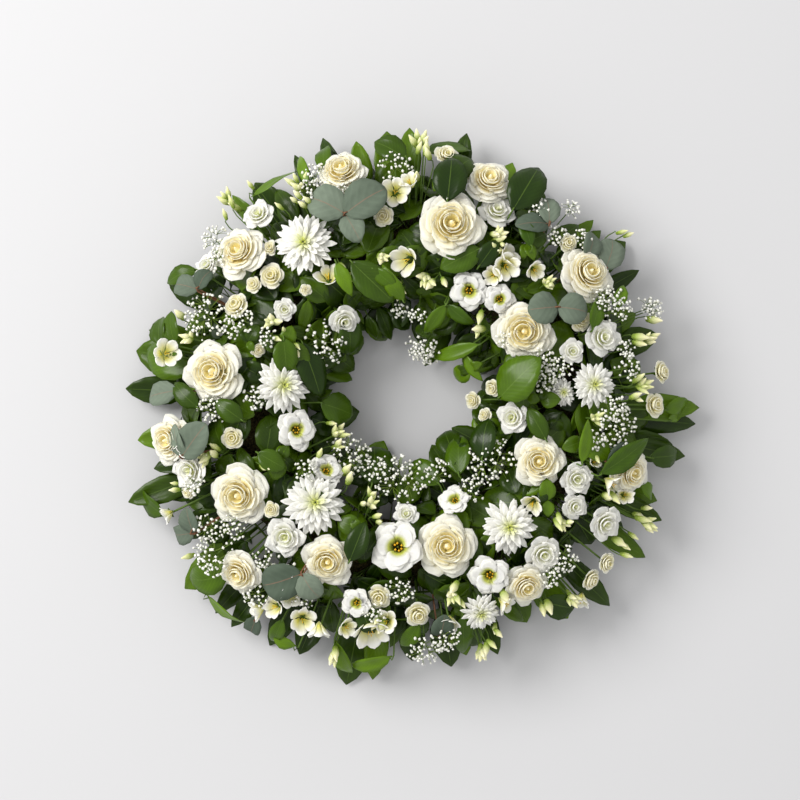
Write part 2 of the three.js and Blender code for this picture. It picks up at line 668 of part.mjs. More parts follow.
function leafyStem(name, tips, count, stemRadius, inward) {
  const groups = Array.from({ length: count }, () => [])
  for (const tip of tips) {
    const share = (Math.atan2(tip[1], tip[0]) / (2 * Math.PI) + 1) % 1
    groups[Math.floor(share * count)].push({ tip, share })
  }
  groups.forEach((group, index) => {
    const height = LAYER_HEIGHTS[index % 2]
    group.sort((a, b) => a.share - b.share)
    const along = share => ringSide(2 * Math.PI * share, stemRadius, height)
    const path = group.map(leaf => along(leaf.share))
    path.unshift(along(group[0].share - STEM_TIP))
    path.push(along(group[group.length - 1].share + STEM_TIP))
    const middle = 2 * Math.PI * group[Math.floor(group.length / 2)].share
    const [peg, hole] = [0, GAP].map(deeper => [
      ringSide(middle, stemRadius, height),
      ringSide(middle, pegRadius(height, inward, deeper), height)
    ])
    addNode(`${name}_${twoDigits(index)}`, [
      rod(path, LEAFY_STEM_THICKNESS),
      rod(peg, LEAFY_STEM_THICKNESS),
      ...group.map((leaf, i) => rimLeaf(leaf.tip, stemRadius, height, i))
    ], 'leaf')
    holes.push(rod(hole, LEAFY_STEM_THICKNESS + 2 * GAP))
  })
}

function ringSide(angle, radius, height) {
  return new THREE.Vector3(radius * Math.cos(angle), radius * Math.sin(angle), height)
}

function pegRadius(height, inward, deeper = 0) {
  const half = Math.sqrt(MOSS_SECTION ** 2 - (height - SECTION_RISE) ** 2) - PEG_DEPTH - deeper
  return RING_RADIUS + (inward ? -half : half)
}

leafyStem('outer_leaves', OUTER_TIPS, 6, OUTER_STEM_RADIUS, false)
leafyStem('inner_leaves', INNER_TIPS, 4, INNER_STEM_RADIUS, true)

// The straw ring stands on its flat foot inside the moss, which is open underneath.
function lathe(profile) {
  const geometry = new THREE.LatheGeometry(profile.map(([r, z]) => new THREE.Vector2(r, z)), RING_SEGMENTS)
  geometry.rotateX(Math.PI / 2)
  return solidFromGeometry(geometry)
}

function arc(radius, from, to, steps) {
  return Array.from({ length: steps + 1 }, (_, i) => {
    const lean = from + ((to - from) * i) / steps
    return [RING_RADIUS + radius * Math.sin(lean), SECTION_RISE + radius * Math.cos(lean)]
  })
}

const quarter = Math.PI / 2
const footLean = Math.acos(-SECTION_RISE / MOSS_SECTION)
const inside = STRAW_SECTION + GAP
const mossOutline = [
  ...arc(MOSS_SECTION, -footLean, footLean, 6),
  [RING_RADIUS + inside, 0],
  ...arc(inside, quarter, -quarter, 4),
  [RING_RADIUS - inside, 0]
]
const strawOutline = [
  [RING_RADIUS - STRAW_SECTION, 0],
  ...arc(STRAW_SECTION, -quarter, quarter, 4),
  [RING_RADIUS + STRAW_SECTION, 0]
]
mossOutline.push(mossOutline[0])
strawOutline.push(strawOutline[0])
const moss = lathe(mossOutline)
addNode('moss_cover', [moss.subtract(wasm.Manifold.union(holes))], 'moss')
addNode('straw_ring', [lathe(strawOutline)], 'straw')

export default wreath
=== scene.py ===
import math

import bmesh
import bpy
import numpy as np
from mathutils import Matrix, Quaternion, Vector, noise


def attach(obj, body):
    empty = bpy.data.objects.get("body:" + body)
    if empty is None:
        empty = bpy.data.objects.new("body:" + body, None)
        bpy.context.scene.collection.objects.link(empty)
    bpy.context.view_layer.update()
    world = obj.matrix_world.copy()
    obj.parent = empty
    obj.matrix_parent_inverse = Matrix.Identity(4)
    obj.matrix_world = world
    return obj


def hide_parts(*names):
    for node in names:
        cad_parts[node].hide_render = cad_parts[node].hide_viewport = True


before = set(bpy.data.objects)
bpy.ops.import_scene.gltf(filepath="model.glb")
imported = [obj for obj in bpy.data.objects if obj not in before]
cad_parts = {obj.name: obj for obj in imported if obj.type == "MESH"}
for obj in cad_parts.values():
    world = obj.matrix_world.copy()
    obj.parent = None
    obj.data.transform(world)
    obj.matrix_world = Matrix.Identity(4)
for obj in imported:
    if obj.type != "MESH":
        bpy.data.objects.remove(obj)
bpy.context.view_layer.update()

MM = 0.001
TAU = 2 * math.pi
GOLDEN_ANGLE = math.radians(137.5)
UP = np.array([0.0, 0.0, 1.0])
TINY = 1e-9
SEED = 28
# Added to a head's place, so that no part of its seed is below nought.
SEED_SHIFT = 400

# The ring and the dome over it, as in the frame.
RING_MIDDLE = np.array([-8.5, 5.5, 0.0])
RING_RADIUS = 160
MOSS_SECTION = 36
STRAW_SECTION = 22
SECTION_RISE = 24
DOME_RISE = 70
DOME_OUTWARD = 125
DOME_INWARD = 98
STEEPEST_HEAD = 0.94
FLOWER_TILT = 0.6
HEADS_ABOVE_RING = 48
HEADS_ABOVE_TABLE = 40
HEAD_DEPTH = 0.65
ELBOW_REACH = 47.6
SINK_REACH = 28
STEEPEST_FOOT = math.radians(50)
OUTER_STEM_RADIUS = 202
INNER_STEM_RADIUS = 117
LAYER_HEIGHTS = [11, 29]
LEAF_ARCH = 4
STAGGER = 2.5
# How high the lowest points stay over the table.
CLEARANCE = 0.4
# Heads share the room between them when they are nearer than this, in their radii together.
NEIGHBOUR_REACH = 1.3
# Where a stem meets its bloom, in the bloom's radii from its middle.
BLOOM_FOOT = [0, 0, -0.35]
# How far single buds, wisps and the added freesias stand off the dome, and how large a bud's share is.
LOOSE_LIFT = 6
FREESIA_LIFT = 3
LOOSE_BUD_SIZE = 16

# Where each head sits, seen from the front: across, up, diameter and, for some, how far it stands
# off the dome.
ROSES = [
    (-64, 237, 54), (87, 227, 54), (48, 181, 70, 8), (188, 132, 60), (124, 73, 64),
    (-169, 154, 56), (-195, 31, 64), (-241, -39, 52), (-169, -95, 62), (-78, -163, 54),
    (44, -148, 62), (139, -61, 54), (-169, -175, 49), (125, -188, 47), (233, -72, 47),
]
CHRYSANTHEMUMS = [
    (-102, 162, 64), (-125, 18, 60), (-92, -104, 68), (108, -128, 60), (194, 18, 49),
    (164, 10, 31, -6), (79, -216, 43),
]
LISIANTHUS = [
    (-112, -29, 43), (-122, -138, 43), (-6, -149, 56), (67, 115, 41), (204, 66, 41), (88, -177, 43),
    (143, -156, 41), (177, -79, 37), (53, -102, 35), (112, -16, 35), (-62, 84, 35),
]
SMALL_LISIANTHUS = [
    (-81, -72, 37), (98, 106, 33), (-48, -206, 33), (95, 197, 41, -6), (175, -107, 29),
    (2, -116, 27), (207, -125, 39), (173, 52, 27), (-150, 193, 35), (-203, 141, 29),
    (-220, -70, 41), (-123, 95, 25),
]
# Which lisianthus are still closed, by number, and which of the small ones are open, by row.
CLOSED_LISIANTHUS = (2, 5, 7, 8, 10, 11)
OPEN_SMALL_LISIANTHUS = (0, 1, 2)
SPRAY_ROSES = [
    (-138, 158, 20), (-136, 129, 31), (-154, 121, 21), (-172, 99, 31), (-150, 54, 18),
    (-101, 115, 14), (-176, -37, 26), (-136, -110, 20, 6), (-26, -200, 29), (14, -218, 31),
    (182, 84, 27), (72, 2, 21), (92, 15, 21), (84, -14, 18), (267, 31, 27), (259, -3, 29),
    (194, -184, 27), (210, -167, 25), (169, 164, 23), (-21, 191, 25), (-223, -93, 17), (44, 255, 29),
]
FREESIAS = [
    (-246, 50, 37, 6), (-9, 216, 37), (3, 146, 39), (-78, 128, 35), (106, 149, 33), (134, 136, 26),
    (-246, -117, 23), (-133, -212, 29), (-105, -225, 35), (-35, -235, 47), (132, -104, 31),
    (228, -96, 25), (195, -62, 19), (104, -207, 29), (47, -227, 27),
]
BUDS = [
    (-182, 208, 14), (-107, 222, 23), (16, 264, 23), (97, 172, 12, 4), (-23, 149, 12), (-6, 115, 12),
    (-220, 66, 14), (-203, -57, 14), (-71, -34, 16), (-35, -105, 14), (49, -199, 12),
    (160, -122, 14), (243, 16, 14), (251, 64, 12), (250, -125, 16), (171, -202, 14), (80, -257, 14),
    (-73, -261, 12), (-136, 82, 18), (22, 129, 14), (146, 122, 14), (196, -17, 14),
]
GYPSOPHILA = [
    (-197, 169, 27), (-205, 90, 43), (-181, 74, 21), (-96, 218, 27), (-81, 59, 41), (-195, -5, 31),
    (-153, 4, 23), (-203, -130, 29), (-197, -160, 40, 8), (-153, -202, 27), (-143, -163, 25),
    (-107, -201, 25), (-56, -55, 43), (-4, -80, 52), (89, -58, 47), (68, -91, 26), (22, -255, 35),
    (22, 54, 35), (145, 193, 25), (157, 172, 23), (212, 102, 35), (255, 98, 23), (228, 54, 21),
    (145, 28, 31), (217, -24, 43), (166, -163, 27), (-4, -194, 27), (-9, 244, 31), (-4, 95, 16),
]
GREENERY = [
    (-123, 59, 41), (-160, 62, 24), (-128, -58, 27), (184, -39, 41), (147, -101, 27),
    (125, 162, 31), (123, 28, 45), (-45, -132, 31), (53, -55, 41), (140, 2, 25), (45, 231, 45),
    (-46, 203, 40), (156, 94, 46), (-125, -183, 45), (-205, -26, 27), (70, 36, 31), (27, 82, 27),
]
# The leaves round the rims: where the tip is, across and up, and how broad the blade is.
OUTER_TIPS = [
    (-249, 129, 26), (-269, 76, 22), (-283, 54, 36), (-293, 14, 26), (-279, -40, 24),
    (-251, -99, 24), (-289, -105, 24), (-239, -142, 24), (-230, -196, 30), (-198, -222, 20),
    (-181, -236, 20), (-142, -258, 24), (-110, -266, 26), (-61, -299, 34), (-33, -293, 22),
    (9, -274, 24), (50, -279, 28), (66, -268, 22), (172, -227, 30), (130, -233, 26),
    (216, -214, 22), (266, -104, 22), (270, -124, 20), (295, -57, 22), (260, -50, 20),
    (310, -6, 24), (307, -23, 22), (282, -45, 18), (268, 71, 26), (248, 139, 16), (245, 93, 22),
    (234, 169, 28), (208, 181, 18), (200, 192, 16), (146, 225, 28), (114, 251, 22), (66, 282, 20),
    (6, 288, 22), (-18, 284, 26), (-50, 273, 20), (-85, 277, 18), (-115, 260, 14), (-157, 231, 28),
    (-181, 218, 14), (253, -163, 20), (259, 23, 20), (99, -266, 20), (-262, -70, 18),
]
INNER_TIPS = [
    (-60, 43, 24), (-87, 18, 16), (-47, -10, 26), (-21, -41, 28), (29, -45, 24), (50, -27, 20),
    (70, -29, 20), (22, 38, 18), (68, 31, 14), (66, 52, 18), (-20, 67, 32), (16, 63, 22),
    (53, 71, 18), (-76, -39, 18), (89, -3, 16), (-54, 23, 16),
]

# Broad gum leaves, which lie on top: where the root is, which way it runs in degrees, how long it is,
# half its breadth and how far it stands off the dome.
GUM_LEAVES = [
    (-60, 192, 150, 43, 19, 6), (-60, 192, 33, 49, 21, 8), (-60, 192, -62, 33, 13, 4),
    (157, 97, 186, 31, 17, 11), (157, 97, -8, 31, 17, 11), (-104, -175, 202, 46, 20, 8),
    (-104, -175, -58, 31, 14, 9), (-227, -56, 45, 47, 17, 9), (-227, -56, 100, 34, 10, 6),
    (148, 182, 84, 31, 12, 6), (148, 182, 192, 37, 12, 4), (-210, 115, 162, 31, 12, 4),
    (-210, 115, 62, 23, 9, 8), (-232, 12, 188, 38, 13, 0), (-216, -134, 98, 27, 12, 2),
    (-216, -134, 200, 34, 11, -4), (-152, -222, -118, 31, 10, -6), (206, 136, 62, 39, 15, -2),
    (208, -60, 20, 34, 12, 2), (188, 148, 70, 28, 12, 0), (36, -240, 84, 30, 12, -6),
]
# The rows of GREENERY where gum leaves lie in place of a glossy sprig.
GUM_SPRIGS = (11, 12, 13, 14)
# Green leaves that show between the heads, given in the same way: broad ones and narrow, bright ones.
BROAD_LEAVES = [
    (44, 204, 83, 52, 18, 12), (22, 258, 22, 50, 11, -12), (111, 196, 59, 62, 19, 4),
    (99, 4, 40, 61, 22, 16), (78, 157, -153, 46, 15, 4), (-54, 144, -44, 60, 16, 6),
    (-82, 237, 99, 40, 9, -4), (2, 249, 138, 40, 14, 0), (-212, 135, -172, 38, 10, -4),
    (-251, 59, 105, 32, 12, -2), (-235, 60, 104, 34, 11, -2), (-218, 31, 160, 68, 19, -24),
    (-106, 62, -69, 60, 15, 0), (-124, 66, -84, 39, 13, 6), (-58, 89, -83, 44, 13, -4),
    (-181, -177, -159, 51, 17, -4), (-249, -117, 164, 41, 12, -6), (253, -57, -3, 43, 12, -8),
    (142, -204, -27, 41, 14, -4), (58, -76, 99, 48, 14, -2), (82, -60, 87, 44, 14, 8),
    (37, -87, 137, 44, 13, -6), (-88, -1, -14, 42, 17, -6), (-34, -87, 80, 52, 20, -6),
    (76, 138, 54, 35, 10, 4), (146, -39, 119, 38, 10, 2), (-45, -208, -69, 35, 10, -2),
    (-210, -6, 139, 38, 10, 0), (-165, -19, 144, 35, 11, 6), (-150, -52, -30, 33, 11, 4),
    (-76, -113, 141, 40, 10, 2), (-56, -163, 68, 44, 12, 4),
]
NARROW_LEAVES = [
    (44, 102, -124, 42, 8, 6), (44, 102, -40, 37, 8, 4), (80, 61, -159, 60, 8, -8),
    (64, 52, -58, 35, 6, -4), (-157, 211, 29, 54, 7, 0), (-99, 222, 108, 40, 6, 2),
    (-204, -200, -30, 48, 9, -8), (-124, -222, -116, 42, 8, -10), (-71, -245, -83, 53, 9, -14),
    (-12, -262, -144, 51, 10, -12), (199, -74, 31, 66, 13, 8), (243, -82, -37, 31, 8, -8),
    (60, -218, -84, 52, 11, -8), (181, -63, 82, 46, 8, 12), (-111, -253, 150, 29, 7, -10),
    (130, 157, 106, 37, 8, 10), (0, 105, 118, 44, 9, 6), (-70, 144, -65, 39, 8, 6),
    (-33, 138, -40, 35, 8, 8), (192, 74, 71, 37, 9, 4), (214, 95, 56, 30, 7, 0), (268, -8, 9, 38, 9, -8),
    (272, -19, 12, 40, 7, -10), (16, -225, -117, 37, 9, -6),
]
# More freesias where they stand thick: across, up and diameter.
MORE_FREESIAS = [
    (-118, -198, 32), (-88, -236, 30), (-152, -216, 28), (-18, -226, 30), (-60, -232, 26),
    (104, 140, 36), (92, 130, 26), (-232, -40, 30), (-224, -48, 30), (214, -84, 32),
    (184, -206, 26), (6, 226, 26),
]
# More wisps of gypsophila between the heads: across, up and diameter.
WISPS = [
    (138, 200, 22), (173, 200, 20), (184, 168, 20), (206, 109, 24), (226, 97, 20), (260, 97, 22),
    (140, 43, 26), (160, 35, 22), (144, 23, 24), (231, 35, 24), (21, 56, 24), (14, 89, 18),
    (-192, 150, 22), (-166, 84, 24), (-140, 66, 20), (-92, 236, 24), (-64, 216, 20), (-176, -128, 26),
    (-120, -176, 22), (-216, -84, 22), (-30, -70, 28), (34, -72, 26), (216, -6, 26), (196, -40, 22),
    (44, -245, 26), (-30, -216, 22), (150, -180, 22), (104, 66, 18), (-190, 30, 20), (-100, -70, 22),
]
# Loose buds that stand out on stalks of their own: where each is, across and up.
LOOSE_BUDS = [
    (17, 264), (23, 258), (13, 233), (95, 171), (91, 161), (101, 160), (150, 119), (31, 122), (43, 121),
    (74, 76), (78, 84), (247, 66), (243, 27), (240, 8), (253, -109), (251, -122), (239, -140), (225, -146),
    (233, -159), (218, -101), (198, -60), (99, -239), (93, -251), (84, -258), (49, -192), (56, -204),
    (105, -202), (159, -122), (171, -122), (177, -204), (-74, -23), (-68, -41), (-87, -51), (-58, -68),
    (-56, -76), (-196, -51), (-206, -60), (-31, -95), (-41, -105), (-25, -117), (-29, -225), (-25, -233),
    (-70, -262), (-140, -68), (-185, 196), (-179, 210), (-113, 222), (-111, 214), (-130, 202),
    (-101, 208), (-62, 134), (-56, 126), (-128, 64), (-109, 56), (-124, 76), (-8, 122), (-232, 92),
    (-238, -90), (-160, 226), (228, 176), (262, 84), (150, -214), (-226, -160),
]


def paint(red, green, blue):
    """A colour as it is seen, 0 to 255, turned into the light that it sends back."""
    seen = np.array([red, green, blue]) / 255
    return np.where(seen < 0.04045, seen / 12.92, ((seen + 0.055) / 1.055) ** 2.4)


IVORY, CREAM, HONEY = paint(249, 246, 228), paint(250, 243, 208), paint(251, 235, 168)
DEEP_HONEY = paint(252, 230, 158)
SNOW, SHADE_GREEN, LIME = paint(248, 247, 239), paint(236, 239, 212), paint(204, 212, 96)
THROAT, OLIVE_EYE, AMBER = paint(244, 214, 70), paint(72, 78, 18), paint(226, 170, 36)
BUD_TIP, BUD_GREEN = paint(232, 233, 178), paint(146, 168, 62)
STALK, RED_STALK = paint(84, 110, 40), paint(122, 84, 62)
# The glossy leaf greens run from a dark leaf in painted shade to a bright leaf in painted light. They are
# partly the leaves' own dark and bright greens.
SHADED_DARK_LEAF, MID_LEAF, LIT_BRIGHT_LEAF = paint(12, 32, 2), paint(33, 60, 5), paint(94, 126, 18)
GUM_LEAF, DEEP_GUM_LEAF = paint(118, 130, 114), paint(62, 76, 62)
LEAF_RIB, GUM_RIB = paint(92, 118, 44), paint(140, 104, 88)
DARK_MOSS, PALE_MOSS = paint(38, 34, 22), paint(86, 78, 46)
DARK_STRAW, PALE_STRAW = paint(140, 112, 62), paint(206, 180, 122)


# What a shape is modelled from: a primitive, worked on in edit mode and read once.
def deselect():
    bpy.ops.object.select_all(action='DESELECT')


def edit_new():
    """Takes the primitive that was just added into edit mode."""
    shape = bpy.context.object
    bpy.ops.object.mode_set(mode='EDIT')
    return shape


def pick(obj, chosen):
    """Selects the points for which chosen is true, in edit mode."""
    mesh = bmesh.from_edit_mesh(obj.data)
    for vert in mesh.verts:
        vert.select = bool(chosen(vert.co))
    mesh.select_flush_mode()
    bmesh.update_edit_mesh(obj.data)


def odd_meridian(co, meridians):
    return round(math.degrees(math.atan2(co.y, co.x)) * meridians / 360) % 2


def read_shape(obj):
    """Takes the points and faces of a modelled shape, and clears it away."""
    bpy.ops.object.mode_set(mode='OBJECT')
    mesh = obj.data
    points = np.empty(len(mesh.vertices) * 3)
    mesh.vertices.foreach_get('co', points)
    loops = np.empty(len(mesh.loops), dtype=np.int32)
    mesh.loops.foreach_get('vertex_index', loops)
    sizes = np.empty(len(mesh.polygons), dtype=np.int32)
    mesh.polygons.foreach_get('loop_total', sizes)
    bpy.data.objects.remove(obj)
    return {'points': points.reshape(-1, 3), 'loops': loops, 'sizes': sizes}


def round_and_up(points):
    """The place of points on a round shape: how far round it, and how far up."""
    around = np.arctan2(points[:, 1], points[:, 0]) / TAU + 0.5
    return np.stack([around, points[:, 2]], axis=1)


def model_sheet(outline, columns):
    """A flat blade two units across: the rows of a grid are moved to their places from 0 at the root
    to 1 at the tip and drawn in to the outline, and the grid is given its thickness. Every row is
    moved clear of the grid, so that it isn't picked again with a later one."""
    deselect()
    rows, clear = len(outline) - 1, 4
    bpy.ops.mesh.primitive_grid_add(x_subdivisions=columns, y_subdivisions=rows, size=2)
    blade = edit_new()
    for row in range(rows, -1, -1):
        place, half = outline[row]
        height = -1 + 2 * row / rows
        pick(blade, lambda co: abs(co.y - height) < 1e-4)
        bpy.ops.transform.resize(value=(half, 1, 1))
        bpy.ops.transform.translate(value=(0, clear + place - height, 0))
    bpy.ops.object.mode_set(mode='OBJECT')
    solid = blade.modifiers.new('thickness', 'SOLIDIFY')
    solid.thickness = 1
    solid.offset = 0
    bpy.ops.object.modifier_apply(modifier=solid.name)
    shape = read_shape(blade)
    shape['points'][:, 1] -= clear
    places, halves = zip(*outline)
    across = shape['points'][:, 0] / np.interp(shape['points'][:, 1], places, halves)
    shape['blade'] = np.stack([0.5 + 0.5 * across, shape['points'][:, 1]], axis=1)
    return shape


def model_floret():
    """A ruffled ball: every other meridian of a small sphere is drawn in, and its top is sunk."""
    deselect()
    meridians = 8
    bpy.ops.mesh.primitive_uv_sphere_add(segments=meridians, ring_count=4, radius=1)
    ball = edit_new()
    pick(ball, lambda co: co.xy.length > 0.1 and odd_meridian(co, meridians))
    bpy.ops.transform.resize(value=(0.58, 0.58, 0.8), center_override=(0, 0, 0))
    pick(ball, lambda co: co.z > 0.95)
    bpy.ops.transform.translate(value=(0, 0, -0.35))
    shape = read_shape(ball)
    shape['blade'] = shape['points'][:, :2] * 0.5 + 0.5
    return shape


def model_bud():
    """A plump bud from 0 at its stalk to 1 at its tip, drawn to a point and lightly ribbed."""
    deselect()
    meridians = 10
    bpy.ops.mesh.primitive_uv_sphere_add(segments=meridians, ring_count=7, radius=1)
    bud = edit_new()
    bpy.ops.mesh.select_all(action='SELECT')
    bpy.ops.transform.resize(value=(0.34, 0.34, 0.5))
    for height, draw_in in ((0.2, 0.8), (0.35, 0.62)):
        pick(bud, lambda co: co.z > height)
        bpy.ops.transform.resize(value=(draw_in, draw_in, 1))
    pick(bud, lambda co: co.z > 0.45)
    bpy.ops.transform.translate(value=(0, 0, 0.14))
    pick(bud, lambda co: odd_meridian(co, meridians) and co.xy.length > 0.02)
    bpy.ops.transform.resize(value=(0.86, 0.86, 1), center_override=(0, 0, 0))
    shape = read_shape(bud)
    up = shape['points'][:, 2]
    shape['points'][:, 2] = (up - up.min()) / np.ptp(up)
    shape['blade'] = round_and_up(shape['points'])
    return shape


def model_rod(sides, steps):
    """A round bar drawn up step by step from a filled circle, one unit long and one in radius."""
    deselect()
    bpy.ops.mesh.primitive_circle_add(vertices=sides, radius=1, fill_type='NGON')
    bar = edit_new()
    bpy.ops.mesh.select_all(action='SELECT')
    for _ in range(steps):
        bpy.ops.mesh.extrude_region_move(TRANSFORM_OT_translate={'value': (0, 0, 1 / steps)})
    bpy.ops.mesh.select_all(action='SELECT')
    bpy.ops.mesh.normals_make_consistent(inside=False)
    shape = read_shape(bar)
    shape['blade'] = round_and_up(shape['points'])
    shape['steps'] = steps
    return shape


BROAD_PETAL = model_sheet([(0, 0.3), (0.2, 0.66), (0.42, 0.92), (0.64, 1), (0.82, 0.93), (0.94, 0.68),
                           (1, 0.24)], 6)
EDGED_PETAL = model_sheet([(0, 0.3), (0.2, 0.66), (0.42, 0.94), (0.62, 1), (0.79, 0.88), (0.92, 0.54),
                           (1, 0.08)], 6)
SMALL_PETAL = model_sheet([(0, 0.3), (0.3, 0.8), (0.62, 1), (0.86, 0.86), (1, 0.34)], 4)
SPOON_PETAL = model_sheet([(0, 0.4), (0.3, 0.76), (0.6, 1), (0.84, 0.74), (1, 0.12)], 2)
POINTED_PETAL = model_sheet([(0, 0.3), (0.25, 0.75), (0.5, 1), (0.75, 0.84), (0.92, 0.46), (1, 0.1)], 4)
LEAF = model_sheet([(0, 0.05), (0.06, 0.16), (0.16, 0.6), (0.34, 0.96), (0.54, 0.98), (0.74, 0.72),
                    (0.9, 0.36), (1, 0.03)], 4)
OVATE_LEAF = model_sheet([(0, 0.07), (0.07, 0.36), (0.2, 0.8), (0.38, 1), (0.58, 0.97), (0.77, 0.74),
                          (0.9, 0.42), (1, 0.03)], 4)
RIM_LEAF = model_sheet([(0, 0.1), (0.27, 0.12), (0.34, 0.48), (0.47, 0.9), (0.62, 1), (0.78, 0.84),
                        (0.92, 0.46), (1, 0.03)], 4)
ROUND_LEAF = model_sheet([(0, 0.08), (0.08, 0.5), (0.26, 0.9), (0.5, 1), (0.74, 0.88), (0.91, 0.56),
                          (1, 0.14)], 4)
FLORET = model_floret()
BUD = model_bud()
ROD = model_rod(5, 6)
THIN_ROD = model_rod(3, 3)


def mix(first, second, share):
    """From the first colour to the second; share may be one number or one for each point."""
    share = np.clip(np.asarray(share, dtype=float), 0, 1)[..., None]
    return first * (1 - share) + second * share


def polar(angle, radius=1, height=0):
    return np.array([radius * math.cos(angle), radius * math.sin(angle), height])


class Heap:
    """Copies of modelled shapes, gathered for one piece."""

    def __init__(self):
        self.points, self.loops, self.sizes, self.blade, self.colour = [], [], [], [], []
        self.count = 0

    def add(self, shape, points, colour):
        self.points.append(points)
        self.loops.append(shape['loops'] + self.count)
        self.sizes.append(shape['sizes'])
        self.blade.append(shape['blade'])
        self.colour.append(np.broadcast_to(colour, points.shape))
        self.count += len(points)

    def make(self, name, material, slot, nodes=()):
        """Makes the piece, in metres, in the place of the nodes of the frame that it stands for."""
        points = np.concatenate(self.points) + RING_MIDDLE
        points[:, 2] = np.maximum(points[:, 2], CLEARANCE)
        loops = np.concatenate(self.loops)
        sizes = np.concatenate(self.sizes)
        mesh = bpy.data.meshes.new(name)
        mesh.vertices.add(len(points))
        mesh.loops.add(len(loops))
        mesh.polygons.add(len(sizes))
        mesh.vertices.foreach_set('co', (points * MM).ravel())
        mesh.loops.foreach_set('vertex_index', loops)
        mesh.polygons.foreach_set('loop_start', np.concatenate([[0], np.cumsum(sizes)[:-1]]))
        mesh.polygons.foreach_set('use_smooth', np.ones(len(sizes), dtype=bool))
        mesh.update(calc_edges=True)
        mesh.validate()
        blade = np.concatenate(self.blade)
        mesh.uv_layers.new(name='blade').data.foreach_set('uv', blade[loops].ravel())
        colour = np.concatenate(self.colour)
        tint = np.concatenate([colour, np.ones((len(colour), 1))], axis=1)
        layer = mesh.color_attributes.new(name='tint', type='FLOAT_COLOR', domain='POINT')
        layer.data.foreach_set('color', tint.ravel())
        mesh.materials.append(material)
        piece = bpy.data.objects.new(name, mesh)
        bpy.context.scene.collection.objects.link(piece)
        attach(piece, 'root')
        if nodes:
            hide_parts(*nodes)


def bend(sheet, surface, thickness):
    """Lays a flat sheet over a surface given by across and along, keeping its thickness."""
    across, along, side = sheet['points'].T
    step = 0.01
    wide = surface(across + step, along) - surface(across - step, along)
    long = surface(across, along + step) - surface(across, along - step)
    normal = np.cross(wide, long)
    normal /= np.maximum(np.linalg.norm(normal, axis=1), TINY)[:, None]
    return surface(across, along) + normal * (side * thickness)[:, None]


def smooth_path(points, steps):
    """A round curve through the points, in equal shares of the way."""
    points = np.asarray(points, dtype=float)
    ends = np.concatenate([[2 * points[0] - points[1]], points, [2 * points[-1] - points[-2]]])
    result = []
    for place in np.linspace(0, len(points) - 1, steps + 1):
        i = min(int(place), len(points) - 2)
        t = place - i
        a, b, c, d = ends[i:i + 4]
        result.append(0.5 * (2 * b + (c - a) * t + (2 * a - 5 * b + 4 * c - d) * t * t
                             + (3 * b - a - 3 * c + d) * t ** 3))
    return np.array(result)


def lay_rod(heap, path, start, end, colour, bar=ROD):
    """A stalk along a path, from its start radius to its end radius."""
    line = smooth_path(path, bar['steps'])
    along = np.gradient(line, axis=0)
    along /= np.maximum(np.linalg.norm(along, axis=1), TINY)[:, None]
    guide = np.array([1.0, 0.0, 0.0]) if abs(along[0][0]) < 0.8 else np.array([0.0, 1.0, 0.0])
    side = np.cross(along, guide)
    side /= np.linalg.norm(side, axis=1)[:, None]
    other = np.cross(along, side)
    x, y, z = bar['points'].T
    ring = np.rint(z * bar['steps']).astype(int)
    radius = (start + (end - start) * z)[:, None]
    points = line[ring] + (side[ring] * x[:, None] + other[ring] * y[:, None]) * radius
    heap.add(bar, points, colour)


# The heads, placed by the same rule as in the frame.
def ring_point(angle, lean, reach):
    """A point at a reach from the middle of the ring's section, leant out from straight up."""
    return polar(angle, RING_RADIUS + reach * math.sin(lean), SECTION_RISE + reach * math.cos(lean))


def turn_towards(facing, spin):
    """The three directions of a head: its own across and up, and the way it faces."""
    basis = np.array(Vector(UP).rotation_difference(Vector(facing)).to_matrix())
    turn = np.array([[math.cos(spin), -math.sin(spin), 0], [math.sin(spin), math.cos(spin), 0], [0, 0, 1]])
    return basis @ turn


